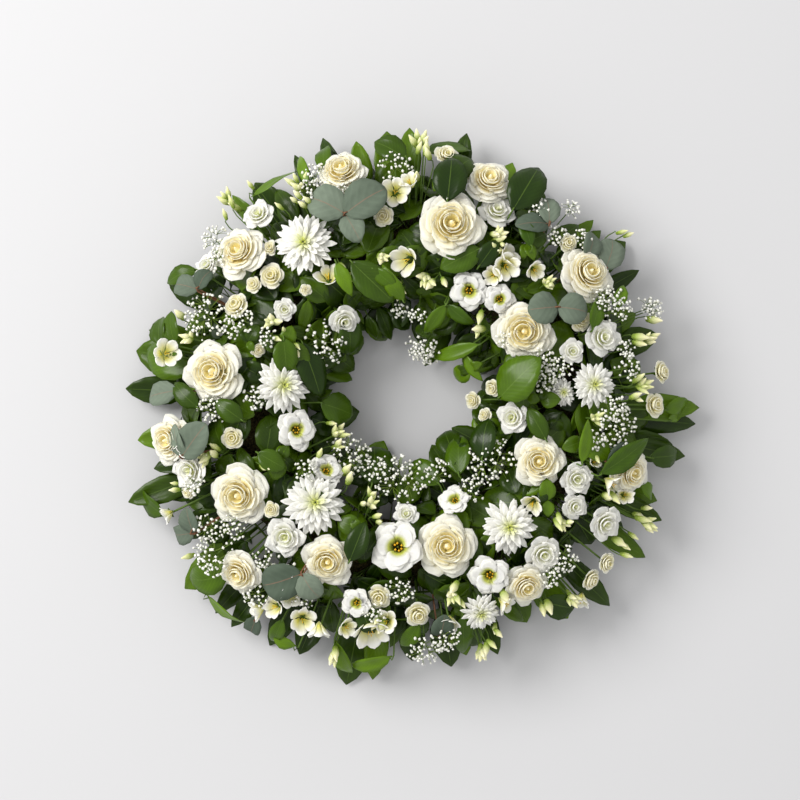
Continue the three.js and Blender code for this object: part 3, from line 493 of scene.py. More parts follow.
class Head:
    """One flower head, bud cluster or cloud, with its place on the dome and its foot on the ring."""

    def __init__(self, kind, index, x, y, size, lift=0):
        self.kind, self.index = kind, index
        self.angle = math.atan2(y, x)
        self.outward = polar(self.angle)
        out = math.hypot(x, y) - RING_RADIUS
        share = min(STEEPEST_HEAD, abs(out) / (DOME_OUTWARD if out > 0 else DOME_INWARD))
        height = DOME_RISE * math.sqrt(1 - share * share) + lift
        self.lean = math.atan2(out, height)
        tilt = self.lean * FLOWER_TILT
        self.facing = self.outward * math.sin(tilt) + UP * math.cos(tilt)
        self.basis = turn_towards(self.facing, index * GOLDEN_ANGLE)
        self.reach = math.hypot(out, height)
        self.radius = size / 2
        self.centre = np.array([x, y, SECTION_RISE + height])
        self.foot_lean = max(-STEEPEST_FOOT, min(STEEPEST_FOOT, self.lean))
        self.draw = np.random.default_rng([SEED, index, int(x) + SEED_SHIFT, int(y) + SEED_SHIFT]).uniform
        self.walls = []

    def fit(self, points, squeeze=0.7):
        """Takes points in radii from the head's middle into its share of the room."""
        moved = np.asarray(points) * self.radius @ self.basis.T
        length = np.maximum(np.linalg.norm(moved, axis=1), TINY)
        way = moved / length[:, None]
        rise = way @ self.facing
        edge = self.radius / np.sqrt(1 - rise ** 2 + (rise / HEAD_DEPTH) ** 2)
        room = edge.copy()
        for normal, distance in self.walls:
            towards = way @ normal
            near = towards > 1e-6
            room[near] = np.minimum(room[near], distance / towards[near])
        share = 1 + squeeze * (room / edge - 1)
        return self.centre + moved * share[:, None]

    def fit_point(self, point, squeeze=0.7):
        return self.fit([point], squeeze)[0]

    def ring_end(self):
        """The last two points of the stem: its elbow over the moss, and its end inside it."""
        return [ring_point(self.angle, self.foot_lean, reach) for reach in (ELBOW_REACH, SINK_REACH)]

    def add_stem(self, heap, start, end, colour=STALK, bar=ROD, top=None):
        """The stem from under the bloom, or from points of its own, down into the moss."""
        top = [self.fit_point(BLOOM_FOOT)] if top is None else top
        lay_rod(heap, [*top, *self.ring_end()], start, end, colour, bar)


def heads_of(kind, rows, *rest):
    """The heads of one kind; rest is what they all have in common after their rows."""
    return [Head(kind, index, *row, *rest) for index, row in enumerate(rows)]


roses = heads_of('rose', ROSES)
chrysanthemums = heads_of('chrysanthemum', CHRYSANTHEMUMS)
lisianthuses = heads_of('lisianthus', LISIANTHUS)
fillers = (heads_of('small_lisianthus', SMALL_LISIANTHUS) + heads_of('spray_rose', SPRAY_ROSES)
           + heads_of('freesia', FREESIAS) + heads_of('bud', BUDS))
clouds = heads_of('gypsophila', GYPSOPHILA)
sprigs = heads_of('greenery', GREENERY)
all_heads = roses + chrysanthemums + lisianthuses + fillers + clouds + sprigs
for head in all_heads:
    head.walls = [
        (np.array([0, 0, -1.0]), head.centre[2] - HEADS_ABOVE_TABLE),
        (ring_point(head.angle, head.lean, -1) - ring_point(head.angle, head.lean, 0),
         head.reach - HEADS_ABOVE_RING),
    ]
    for other in all_heads:
        gap = other.centre - head.centre
        between = np.linalg.norm(gap)
        if other is not head and between < NEIGHBOUR_REACH * (head.radius + other.radius):
            wall = (between ** 2 + head.radius ** 2 - other.radius ** 2) / (2 * between)
            head.walls.append((gap / between, wall))


# Petals. A wrapped petal goes round the flower's axis and opens like a cup.
def wrapped_petal(turn, half, reach, foot, top, curl, openness, ruffle, phase, spiral=0.0, steep=1.1):
    """openness runs from 0, an upright cup with its rim seen on edge, to 1, a petal laid open whose
    sides roll back and leave a point. Lengths are in the flower's radii."""
    def surface(across, along):
        along = np.maximum(along, 0)
        around = turn + across * half
        upright = (1 - np.maximum(1 - along, 0) ** 2.4) * (1 - 0.27 * along ** 3)
        laid = 0.35 * along + 0.65 * along ** 1.4
        out = reach * (upright * (1 - openness) + laid * openness) + 0.03
        rim = np.clip((along - 0.55) / 0.45, 0, 1) ** 2
        out = out * (1 + spiral * across) - 0.05 * reach * across ** 2 * along
        rise = along * (1 - openness) + np.sin(np.clip(along * steep, 0, 1) * math.pi / 2) * openness
        wave = ruffle * (np.sin(across * 4.2 + phase) + 0.5 * np.sin(across * 9.5 - phase)) * along ** 3
        up = foot + (top - foot) * rise - curl * rim * (0.25 + 1.5 * across ** 2) + wave
        out = out + 0.5 * wave
        return np.stack([out * np.cos(around), out * np.sin(around), up], axis=-1)
    return surface


def long_petal(turn, half, start, reach, foot, top, groove, lift, sway):
    """A petal that runs straight out from the middle, grooved along it, its tip lifted."""
    def surface(across, along):
        out = start + (reach - start) * along
        side = across * half + sway * along ** 2
        up = foot + (top - foot) * along + groove * across ** 2 + lift * along ** 3
        return np.stack([out * math.cos(turn) - side * math.sin(turn),
                         out * math.sin(turn) + side * math.cos(turn), up], axis=-1)
    return surface


def tip_over(lean, way):
    """The turn that leans a flower's axis over to one side."""
    return np.array(Quaternion((-math.sin(way), math.cos(way), 0), lean).to_matrix()).T


def tipped(surface, lean, way):
    turn = tip_over(lean, way)
    return lambda across, along: surface(across, along) @ turn


def add_petal(heap, head, sheet, surface, colour, thickness=0.5):
    heap.add(sheet, head.fit(bend(sheet, surface, thickness / head.radius)), colour)


# The layers of each flower, from the outermost in.
ROSE_LAYERS = [
    # petals, reach, top, curl, openness, half width round the axis
    (5, 1.03, 0.00, 0.17, 1.0, 0.74), (5, 0.94, 0.13, 0.16, 0.85, 0.76), (5, 0.82, 0.27, 0.14, 0.65, 0.80),
    (5, 0.69, 0.38, 0.11, 0.45, 0.84), (4, 0.55, 0.45, 0.08, 0.34, 1.05), (3, 0.41, 0.50, 0.06, 0.24, 1.3),
    (3, 0.28, 0.53, 0.02, 0.12, 1.4),
]
SPRAY_ROSE_LAYERS = [
    (5, 0.98, 0.10, 0.10, 0.70, 0.78), (4, 0.76, 0.34, 0.05, 0.32, 0.96), (3, 0.50, 0.48, 0.02, 0.10, 1.25),
    (3, 0.27, 0.53, 0.0, 0.0, 1.5),
]
CLOSED_LISIANTHUS_LAYERS = [
    (5, 1.00, 0.12, 0.12, 0.90, 0.78), (4, 0.80, 0.30, 0.08, 0.50, 0.98), (3, 0.54, 0.42, 0.05, 0.25, 1.3),
    (2, 0.27, 0.46, 0.02, 0.05, 1.7),
]
OPEN_LISIANTHUS_LAYERS = [
    (5, 1.02, 0.18, 0.12, 1.0, 0.82), (5, 0.90, 0.26, 0.06, 0.95, 0.80), (3, 0.76, 0.33, 0.05, 0.85, 0.98),
]
CHRYSANTHEMUM_LAYERS = [
    # petals, reach, top, half width, groove
    (15, 1.02, -0.06, 0.125, 0.06), (15, 0.94, 0.08, 0.115, 0.06), (13, 0.82, 0.21, 0.105, 0.06),
    (12, 0.66, 0.32, 0.09, 0.05), (9, 0.47, 0.39, 0.07, 0.04), (8, 0.28, 0.42, 0.05, 0.02),
    (6, 0.1, 0.41, 0.035, 0.01),
]
WRAPPED_THICKNESS = 0.4
# How low a wrapped petal starts, and how far each layer is turned from the last.
PETAL_FOOT = -0.42
LAYER_TURN = 2.2


def whorls(heap, head, sheet, layers, deep, outer, inner, ruffle, root, fade=2.2, lean=0.0, steep=1.1,
           raised=0.5):
    """Layers of wrapped petals from the outermost in, with their roots, up to a share of their
    length, in a deeper colour. The feet of the inner layers are raised over those of the outer."""
    draw = head.draw
    along = sheet['blade'][:, 1]
    way = draw(0, 6)
    for layer, (count, reach, top, curl, openness, half) in enumerate(layers):
        warm = layer / (len(layers) - 1)
        for k in range(count):
            turn = (k + draw(-0.14, 0.14)) * TAU / count + layer * LAYER_TURN
            surface = wrapped_petal(
                turn, half * draw(0.92, 1.08), reach * draw(0.94, 1.03), PETAL_FOOT + raised * warm,
                top + draw(-0.03, 0.03), curl * draw(0.4, 1.7), openness, ruffle * (1 - warm),
                phase=draw(0, 6), spiral=0.07 + 0.05 * warm, steep=steep)
            rim = mix(outer, inner, warm + draw(-0.15, 0.15))
            colour = mix(deep, rim, (along - root) * fade)
            add_petal(heap, head, sheet, tipped(surface, lean, way), colour, WRAPPED_THICKNESS)


def heart(heap, head, colour, breadth):
    """The tight bud in the middle of a rose."""
    heap.add(BUD, head.fit(BUD['points'] * [breadth, breadth, 0.94] + [0, 0, PETAL_FOOT]), colour)


def rose(heap, head):
    whorls(heap, head, BROAD_PETAL, ROSE_LAYERS, DEEP_HONEY, IVORY, CREAM, ruffle=0.045, root=0.42)
    heart(heap, head, mix(HONEY, CREAM, BUD['blade'][:, 1]), head.draw(0.46, 0.6))


def spray_rose(heap, head):
    deep = mix(mix(HONEY, LIME, 0.3), IVORY, 0.25)
    outer = mix(IVORY, CREAM, head.draw(0.2, 0.8))
    whorls(heap, head, SMALL_PETAL, SPRAY_ROSE_LAYERS, deep, outer, mix(CREAM, HONEY, 0.25),
           ruffle=0.02, root=0.35, lean=head.draw(0, 0.35))
    heart(heap, head, mix(CREAM, HONEY, 0.5), breadth=0.4)


def chrysanthemum(heap, head):
    draw = head.draw
    last = len(CHRYSANTHEMUM_LAYERS) - 1
    along = SPOON_PETAL['blade'][:, 1]
    for layer, (count, reach, top, half, groove) in enumerate(CHRYSANTHEMUM_LAYERS):
        inward = layer / last
        green = 0.9 * max(0.0, inward - 0.55) / 0.45
        colour = mix(mix(LIME, SHADE_GREEN, 0.3), mix(SNOW, LIME, green), along * 2.4 - 0.35)
        for k in range(count):
            turn = (k + 0.5 * (layer % 2) + draw(-0.22, 0.22)) * TAU / count
            surface = long_petal(turn, half, start=0.03, reach=reach * draw(0.86, 1.05),
                                 foot=0.02 + 0.26 * inward, top=top + draw(-0.07, 0.05), groove=groove,
                                 lift=0.05 + draw(-0.05, 0.08), sway=draw(-0.08, 0.08))
            add_petal(heap, head, SPOON_PETAL, surface, colour)


def eye(heap, head, height, spread, count):
    """The pistil and stamens in the middle of an open flower."""
    pistil = head.fit([[0, 0, height - 0.35], [0, 0, height]])
    lay_rod(heap, pistil, 0.09 * head.radius, 0.06 * head.radius, OLIVE_EYE, THIN_ROD)
    for k in range(count):
        top = polar(k * TAU / count + head.draw(-0.2, 0.2), spread, height - 0.02)
        foot = [0.3 * top[0], 0.3 * top[1], height - 0.3]
        lay_rod(heap, head.fit([foot, top]), 0.3, 0.3, OLIVE_EYE, THIN_ROD)
        heap.add(FLORET, head.fit(FLORET['points'] * [0.06, 0.06, 0.07] + top), AMBER)


def is_closed(head):
    if head.kind == 'lisianthus':
        return head.index + 1 in CLOSED_LISIANTHUS
    return head.index not in OPEN_SMALL_LISIANTHUS


def lisianthus(heap, head):
    if is_closed(head):
        whorls(heap, head, BROAD_PETAL, CLOSED_LISIANTHUS_LAYERS, mix(LIME, SNOW, 0.3), SNOW, SNOW,
               ruffle=0.08, root=0.15)
        heart(heap, head, mix(SNOW, LIME, 0.5), breadth=0.22)
        return
    ringed = mix(OLIVE_EYE, LIME, (EDGED_PETAL['blade'][:, 1] - 0.32) * 8)
    whorls(heap, head, EDGED_PETAL, OPEN_LISIANTHUS_LAYERS, ringed, SNOW, SNOW, ruffle=0.06, root=0.42,
           fade=7.0, steep=2.0, lean=head.draw(0, 0.3), raised=0.0)
    eye(heap, head, height=0.14, spread=0.14, count=6)


def freesia(heap, head):
    """A trumpet of six pointed petals, most often seen from the side, with three stamens."""
    draw = head.draw
    lean, way = draw(0.35, 0.95), head.index * GOLDEN_ANGLE
    along = POINTED_PETAL['blade'][:, 1]
    for k in range(6):
        turn = (k + draw(-0.08, 0.08)) * TAU / 6
        inner = k % 2
        surface = wrapped_petal(turn, half=0.60, reach=0.95 - 0.08 * inner, foot=-0.62,
                                top=0.40 + 0.1 * inner, curl=0.08, openness=0.6, ruffle=0.03,
                                phase=draw(0, 6))
        warm = mix(THROAT, IVORY, 0.25 if inner else 0.8)
        colour = mix(mix(LIME, warm, 0.4), mix(IVORY, SNOW, draw(0, 1)), along * 2.2 - 0.6)
        add_petal(heap, head, POINTED_PETAL, tipped(surface, lean, way), colour)
    for k in range(3):
        stamen = np.array([[0, 0, -0.3], polar(k * 2.1, 0.12, 0.3)]) @ tip_over(lean, way)
        lay_rod(heap, head.fit(stamen), 0.3, 0.5, AMBER, THIN_ROD)


def sepals(heap, head):
    """Five narrow green blades under a bloom."""
    for k in range(5):
        surface = long_petal(k * TAU / 5, half=0.12, start=0.04, reach=0.5, foot=-0.45, top=-0.3,
                             groove=0.03, lift=-0.05, sway=0.02)
        add_petal(heap, head, POINTED_PETAL, surface, mix(MID_LEAF, LIT_BRIGHT_LEAF, 0.4))


BUDS_IN_CLUSTER = 5
FLORET_SIZES = (1.2, 2.2)
CLOUD_BREADTH = 1.18


def add_bud(petals, greens, tip, way, length, turn, tone):
    """A pointed bud held by its green cup, with its tip where it is given."""
    base = tip - way * length * 0.75
    plump = length * (0.56 + 0.2 * tone)
    turned = turn_towards(way, turn).T
    petals.add(BUD, BUD['points'] * [plump, plump, length] @ turned + base,
               mix(BUD_GREEN, mix(BUD_TIP, CREAM, tone), BUD['blade'][:, 1] * 1.6 - 0.35))
    greens.add(BUD, BUD['points'] * [plump * 0.8, plump * 0.8, length * 0.4] @ turned + base - way,
               mix(STALK, BUD_GREEN, 0.5))
    return base


def bud_cluster(petals, greens, head):
    draw = head.draw
    root = head.fit_point(BLOOM_FOOT)
    for k in range(BUDS_IN_CLUSTER):
        turn = k * GOLDEN_ANGLE + draw(-0.3, 0.3)
        spread = draw(0.6, 1.1) if k else 0.1
        tip = head.fit_point(polar(turn, spread, 0.8 - 0.3 * spread), 0.4)
        tip = tip + head.outward * math.sin(head.lean) * draw(3, 9)
        way = (tip - root) / np.linalg.norm(tip - root)
        base = add_bud(petals, greens, tip, way, draw(11, 18), turn, draw(0, 1))
        lay_rod(greens, [root, base], 0.7, 0.7, STALK, THIN_ROD)


def loose_bud(petals, greens, head):
    """One or two buds on an arching stalk that comes up out of the dome."""
    for k in range(2 if head.index % 2 else 1):
        turn = head.draw(0, 6)
        way = head.facing * 0.9 + head.outward * math.sin(head.lean) + 0.7 * polar(turn)
        way = way / np.linalg.norm(way)
        tip = head.centre + 7 * k * polar(turn, 1, -0.4) + head.facing * 4
        base = add_bud(petals, greens, tip, way, head.draw(11, 19), turn, head.draw(0, 1))
        head.add_stem(greens, 0.6, 0.8, top=[base, base - way * 9])


def cloud(petals, greens, head):
    """A cloud of florets on hair-thin stalks that branch from a few forks."""
    draw = head.draw
    forks = []
    count = max(3, int(head.radius / 3.2))
    for k in range(count):
        out = 0.5 * math.sqrt((k + 0.5) / count)
        forks.append(head.fit_point(polar(k * GOLDEN_ANGLE, out, draw(-0.2, 0.1))))
        lay_rod(greens, [head.fit_point([0, 0, -0.4]), forks[-1]], 0.45, 0.3, STALK, THIN_ROD)
    florets = int(9 + 0.16 * head.radius ** 2)
    for k in range(florets):
        turn = k * GOLDEN_ANGLE + draw(-0.5, 0.5)
        out = CLOUD_BREADTH * math.sqrt((k + 0.5) / florets) * draw(0.85, 1.1)
        rise = 0.62 * math.sqrt(max(0.0, 1.4 - out * out)) - draw(0, 0.5)
        place = head.fit_point(polar(turn, out, rise), 0.3)
        fork = min(forks, key=lambda point: np.linalg.norm(point - place))
        size = draw(*FLORET_SIZES)
        tilt = turn_towards((place - fork) / max(TINY, np.linalg.norm(place - fork)), turn)
        petals.add(FLORET, FLORET['points'] * [size, size, size * 0.85] @ tilt.T + place,
                   mix(SNOW, SHADE_GREEN, draw(0, 0.35)))
        bow = (fork + place) / 2 + draw(-1.5, 1.5, 3)
        lay_rod(greens, [fork, bow, place], 0.28, 0.2, mix(STALK, BUD_GREEN, 0.4), THIN_ROD)


def leaf_surface(root, tip, half, arch, fold, normal=UP, twist=0.0, droop=0.0):
    """A leaf from root to tip, arched, folded along its rib, twisted and with its tip bent down."""
    way = tip - root
    side = np.cross(way, normal)
    side /= max(TINY, np.linalg.norm(side))
    above = np.cross(side, way)
    above /= max(TINY, np.linalg.norm(above))

    def surface(across, along):
        across, along = across[:, None], along[:, None]
        wave = 0.1 * half * np.sin(9 * along + 2 * np.sign(across) + twist) * np.abs(across)
        rise = arch * np.sin(math.pi * along) + fold * half * np.abs(across) + wave
        rise = rise + twist * across * along - droop * np.maximum(along - 0.5, 0) ** 2 * 4
        return root + way * along + side * across * half + above * rise
    return surface


def add_leaf(heap, sheet, surface, tone, dark=SHADED_DARK_LEAF, light=LIT_BRIGHT_LEAF, thickness=0.6):
    across, along = sheet['blade'].T
    # Each leaf's tone puts it between its dark and light greens, which for the glossy leaves are painted
    # shade and painted light, a little lighter at its edges and tip.
    shade = tone + 0.16 * np.abs(across - 0.5) + 0.1 * along
    heap.add(sheet, bend(sheet, surface, thickness), mix(dark, light, shade))


def greenery(heap, stems, head):
    """A sprig of dark glossy leaves in the head's share."""
    draw = head.draw
    middle = head.fit_point([0, 0, 0.1])
    head.add_stem(stems, 0.9, 1.0, bar=THIN_ROD, top=[middle])
    for size in (1.7, 1.2, 1.0):
        tip = head.fit_point(polar(draw(0, 6.3), size, draw(0, 0.35)), 0.15)
        half = head.radius * size * draw(0.34, 0.42)
        surface = leaf_surface(middle, tip, half, arch=2, fold=0.14, normal=head.facing,
                               twist=draw(-3, 3), droop=3)
        add_leaf(heap, OVATE_LEAF, surface, draw(0, 0.8) ** 2)


def single_leaf(heap, stems, head, sheet, dark, light, stalk):
    """One leaf that lies on top of its neighbours, on a stalk of its own."""
    draw = head.draw
    turn, length, half = head.blade
    way = polar(turn)
    way = way - head.facing * (way @ head.facing)
    root = head.centre + head.facing * 3
    tip = root + way / np.linalg.norm(way) * length + head.facing * draw(-3, 5)
    surface = leaf_surface(root, tip, half, arch=draw(1, 5), fold=draw(0.05, 0.25), normal=head.facing,
                           twist=draw(-7, 7), droop=draw(0, 8))
    add_leaf(heap, sheet, surface, draw(0, 0.9), dark, light)
    head.add_stem(stems, 0.8, 1.1, stalk, top=[root + way * 4 + head.facing * 0.3, root - way * 2])


# Finishes.
COAT_ROUGHNESS = 0.22
SOFT_RADIUS = (0.5, 0.5, 0.5)
SOFT_SCALE = 0.004
RIB_WIDTH = 0.022
RIB_STRENGTH = 0.6


class Finish:
    """A material, with the nodes that colour its Principled shader."""

    def __init__(self, name, roughness, specular, coat=0.0, soft=0.0):
        self.material = bpy.data.materials.new(name)
        self.material.use_nodes = True
        self.nodes = self.material.node_tree.nodes
        self.links = self.material.node_tree.links
        self.shader = self.nodes['Principled BSDF']
        self.feed(self.shader, {
            'Roughness': roughness, 'Specular IOR Level': specular, 'Coat Weight': coat,
            'Coat Roughness': COAT_ROUGHNESS, 'Subsurface Weight': soft,
            'Subsurface Radius': SOFT_RADIUS, 'Subsurface Scale': SOFT_SCALE})

    def feed(self, node, sockets):
        """Sets a node's sockets to numbers, or joins them to what other nodes give."""
        for socket, value in sockets.items():
            if isinstance(value, bpy.types.NodeSocket):
                self.links.new(value, node.inputs[socket])
            else:
                node.inputs[socket].default_value = value
        return node

    def maths(self, operation, *values):
        node = self.nodes.new('ShaderNodeMath')
        node.operation = operation
        return self.feed(node, dict(enumerate(values))).outputs[0]

    def speckle(self, scale, detail=4):
        """Noise on the piece's own place, scale in patches to the metre."""
        place = self.nodes.new('ShaderNodeTexCoord').outputs['Object']
        node = self.nodes.new('ShaderNodeTexNoise')
        return self.feed(node, {'Scale': scale, 'Detail': detail, 'Vector': place}).outputs['Fac']

    def spread(self, value, low, high, full=1):
        """Lays a value from 0 to full out from low to high."""
        node = self.nodes.new('ShaderNodeMapRange')
        self.feed(node, {'Value': value, 'From Max': full, 'To Min': low, 'To Max': high})
        return node.outputs['Result']

    def blend(self, kind, share, first, second):
        node = self.nodes.new('ShaderNodeMix')
        node.data_type = 'RGBA'
        node.blend_type = kind
        return self.feed(node, {'Factor': share, 'A': first, 'B': second}).outputs['Result']

    def tint(self, patches, low, high):
        """The colour that each leaf and petal brings with it, in lighter and darker patches."""
        node = self.nodes.new('ShaderNodeVertexColor')
        node.layer_name = 'tint'
        return self.blend('MULTIPLY', 1, node.outputs['Color'], self.spread(patches, low, high))

    def blade_lines(self, ribs, slant):
        """Fine veins, along the blade or slanting off its rib, and the way off the rib."""
        blade = self.nodes.new('ShaderNodeUVMap')
        blade.uv_map = 'blade'
        split = self.feed(self.nodes.new('ShaderNodeSeparateXYZ'), {'Vector': blade.outputs['UV']})
        off_rib = self.maths('ABSOLUTE', self.maths('SUBTRACT', split.outputs['X'], 0.5))
        forward = self.maths('MULTIPLY', split.outputs['Y'], ribs * slant)
        phase = self.maths('SUBTRACT', forward, self.maths('MULTIPLY', off_rib, ribs))
        return self.maths('SINE', phase), off_rib

    def complete(self, colour, height, strength, distance):
        """Joins a colour and a relief to the shader."""
        bump = self.nodes.new('ShaderNodeBump')
        self.feed(bump, {'Strength': strength, 'Distance': distance, 'Height': height})
        self.feed(self.shader, {'Base Color': colour, 'Normal': bump.outputs['Normal']})
        return self.material


def veined_finish(name, roughness, specular, veins, patches, vein_tones, relief, rib=None, **more):
    """Petals and leaves: their own colour in patches, with veins and, on leaves, a middle rib. veins
    gives their number and slant, patches their scale and tones, relief its strength and depth."""
    finish = Finish(name, roughness, specular, **more)
    lines, off_rib = finish.blade_lines(*veins)
    scale, low, high = patches
    colour = finish.tint(finish.speckle(scale), low, high)
    if rib is not None:
        colour = finish.blend('MIX', finish.spread(off_rib, RIB_STRENGTH, 0, RIB_WIDTH), colour, (*rib, 1))
    colour = finish.blend('MULTIPLY', 1, colour, finish.spread(lines, *vein_tones))
    return finish.complete(colour, lines, *relief)


def stalk_finish():
    finish = Finish('green_stalk', roughness=0.55, specular=0.25)
    grain = finish.speckle(420)
    return finish.complete(finish.tint(grain, 0.75, 1.2), grain, strength=0.3, distance=0.0003)


def rough_finish(name, first, second, scale, depth):
    """A rough, matted finish of two colours."""
    finish = Finish(name, roughness=0.95, specular=0.15)
    grain = finish.speckle(scale, detail=8)
    ramp = finish.feed(finish.nodes.new('ShaderNodeValToRGB'), {'Fac': grain})
    for step, place, colour in zip(ramp.color_ramp.elements, (0.35, 0.7), (first, second)):
        step.position = place
        step.color = (*colour, 1)
    return finish.complete(ramp.outputs['Color'], grain, strength=0.9, distance=depth)


PETAL = veined_finish('soft_petal', roughness=0.6, specular=0.2, veins=(62, 0.12),
                      patches=(160, 0.93, 1.03), vein_tones=(0.985, 1), relief=(0.12, 0.0004), soft=0.85)
WAXY_LEAF = veined_finish('waxy_leaf', roughness=0.32, specular=0.12, veins=(44, 1.5),
                          patches=(70, 0.7, 1.3), vein_tones=(0.95, 1.05), relief=(0.1, 0.0003),
                          rib=LEAF_RIB, coat=0.18)
GUM = veined_finish('dusty_gum_leaf', roughness=0.7, specular=0.2, veins=(26, 1.2),
                    patches=(140, 0.82, 1.14), vein_tones=(0.97, 1.03), relief=(0.15, 0.0004), rib=GUM_RIB)
GREEN_STALK = stalk_finish()
MOSS = rough_finish('tangled_moss', DARK_MOSS, PALE_MOSS, 420, 0.003)
STRAW = rough_finish('dry_straw', DARK_STRAW, PALE_STRAW, 300, 0.001)


def share_round(angle):
    """How far round the ring an angle lies, from 0 to 1."""
    return (angle / TAU + 1) % 1


def gather(heads, count):
    """The stretches of the ring, numbered from 1, each with its heads."""
    groups = [[] for _ in range(count)]
    for head in heads:
        groups[int(share_round(head.angle) * count)].append(head)
    return enumerate(groups, 1)


# The large blooms, each its own piece, and their green parts in one.
bloom_greens = Heap()
for heads, build, stem in ((roses, rose, 2.2), (chrysanthemums, chrysanthemum, 1.8),
                           (lisianthuses, lisianthus, 1.5)):
    for number, head in enumerate(heads, 1):
        heap, name = Heap(), head.kind
        build(heap, head)
        heap.make(f'{name}_petals_{number:02d}', PETAL, f'{name}_petals', [f'{name}_{number:02d}'])
        sepals(bloom_greens, head)
        head.add_stem(bloom_greens, stem, stem)
bloom_greens.make('bloom_stems', GREEN_STALK, 'leaf_green')

# The small flowers and buds, in six stretches.
SMALL_FLOWERS = {'small_lisianthus': lisianthus, 'spray_rose': spray_rose, 'freesia': freesia}
fillers += heads_of('freesia', MORE_FREESIAS, FREESIA_LIFT)
fillers += heads_of('loose_bud', LOOSE_BUDS, LOOSE_BUD_SIZE, LOOSE_LIFT)
for number, group in gather(fillers, 6):
    flowers, greens = Heap(), Heap()
    for head in group:
        if head.kind == 'loose_bud':
            loose_bud(flowers, greens, head)
            continue
        if head.kind == 'bud':
            bud_cluster(flowers, greens, head)
        else:
            SMALL_FLOWERS[head.kind](flowers, head)
            sepals(greens, head)
        head.add_stem(greens, 1.1, 1.2)
    spray = f'small_flower_spray_{number:02d}'
    flowers.make(f'small_flowers_{number:02d}', PETAL, 'small_flower_petals', [spray])
    greens.make(f'small_flower_stems_{number:02d}', GREEN_STALK, 'leaf_green')

# The gypsophila, in four stretches.
for number, group in gather(clouds + heads_of('wisp', WISPS, LOOSE_LIFT), 4):
    flowers, greens = Heap(), Heap()
    for head in group:
        cloud(flowers, greens, head)
        head.add_stem(greens, 0.6, 0.7)
    spray = f'gypsophila_spray_{number:02d}'
    flowers.make(f'gypsophila_florets_{number:02d}', PETAL, 'gypsophila', [spray])
    greens.make(f'gypsophila_stalks_{number:02d}', GREEN_STALK, 'leaf_green')


# The leaves that lie on top and the sprigs between the heads, in four stretches.
def single_leaves(kind, rows):
    leaves = []
    for index, (x, y, degrees, length, half, lift) in enumerate(rows):
        leaf = Head(kind, index, x, y, 2 * half, lift)
        leaf.blade = (math.radians(degrees), length, half)
        leaves.append(leaf)
    return leaves


# For each kind: the sheet, the dark and light greens (for the glossy leaves, painted shade and painted
# light) and the stalk.
LEAF_KINDS = {
    'gum': (ROUND_LEAF, DEEP_GUM_LEAF, GUM_LEAF, RED_STALK),
    'broad': (OVATE_LEAF, SHADED_DARK_LEAF, mix(MID_LEAF, LIT_BRIGHT_LEAF, 0.5), STALK),
    'narrow': (LEAF, MID_LEAF, LIT_BRIGHT_LEAF, STALK),
}
singles = single_leaves('gum', GUM_LEAVES) + single_leaves('broad', BROAD_LEAVES)
singles += single_leaves('narrow', NARROW_LEAVES)
for number, group in gather(sprigs + singles, 4):
    leaves, gum_leaves, stems = Heap(), Heap(), Heap()
    for head in group:
        if head.kind in LEAF_KINDS:
            heap = gum_leaves if head.kind == 'gum' else leaves
            single_leaf(heap, stems, head, *LEAF_KINDS[head.kind])
        elif head.index not in GUM_SPRIGS:
            greenery(leaves, stems, head)
    gum_leaves.make(f'gum_leaves_{number:02d}', GUM, 'eucalyptus', [f'greenery_sprig_{number:02d}'])
    leaves.make(f'glossy_sprigs_{number:02d}', WAXY_LEAF, 'leaf_green')
    stems.make(f'sprig_stems_{number:02d}', GREEN_STALK, 'leaf_green')


# The leaves of the rims, on leafy stems that run round the ring in two layers.
LONG_LEAF = 45
STEM_POINTS = 7
MOSS_HOLD = 12


def leafy_stems(name, tips, count, stem_radius, side):
    """count stems with leaves to these tips; side is 1 at the outer rim and -1 at the hole."""
    groups = [[] for _ in range(count)]
    for x, y, width in tips:
        share = share_round(math.atan2(y, x))
        groups[int(share * count)].append((share, x, y, width))
    for number, group in enumerate(groups, 1):
        group.sort()
        draw = np.random.default_rng([SEED, number - 1, count]).uniform
        height = LAYER_HEIGHTS[(number - 1) % 2]
        leaves, stems = Heap(), Heap()
        for i, (share, x, y, width) in enumerate(group):
            root = polar(TAU * share, stem_radius, height)
            tip = np.array([x, y, height + (STAGGER if i % 2 else -STAGGER)])
            surface = leaf_surface(root, tip, 0.6 * width, LEAF_ARCH, fold=draw(0.1, 0.4),
                                   twist=draw(-12, 12), droop=draw(-6, 8))
            sheet = RIM_LEAF if np.linalg.norm(tip - root) > LONG_LEAF else LEAF
            add_leaf(leaves, sheet, surface, draw(0, 0.85) ** 2)
        angles = np.linspace(TAU * group[0][0], TAU * group[-1][0], STEM_POINTS)
        lay_rod(stems, [polar(angle, stem_radius, height) for angle in angles], 1.5, 1.2, STALK)
        middle = math.pi * (group[0][0] + group[-1][0])
        sunk = RING_RADIUS + side * (MOSS_SECTION - MOSS_HOLD)
        anchor = [polar(middle, radius, height) for radius in (stem_radius, sunk)]
        lay_rod(stems, anchor, 1.5, 1.5, STALK)
        leaves.make(f'{name}_blades_{number:02d}', WAXY_LEAF, 'leaf_green', [f'{name}_{number:02d}'])
        stems.make(f'{name}_stem_{number:02d}', GREEN_STALK, 'leaf_green')


leafy_stems('outer_leaves', OUTER_TIPS, 6, OUTER_STEM_RADIUS, 1)
leafy_stems('inner_leaves', INNER_TIPS, 4, INNER_STEM_RADIUS, -1)

# Dark leaves tucked in under the heads all over the dome, each on its own stalk in the moss.
TUCKED_LEAVES = 440
# Between these angles the outer rim is thin, and single leaves stand apart.
SPARSE_FROM, SPARSE_TO = 4.1, 4.65
TUCKED_PIECES = 4
tucked = [Heap() for _ in range(TUCKED_PIECES)]
tucked_stalks = Heap()
draw = np.random.default_rng(SEED).uniform


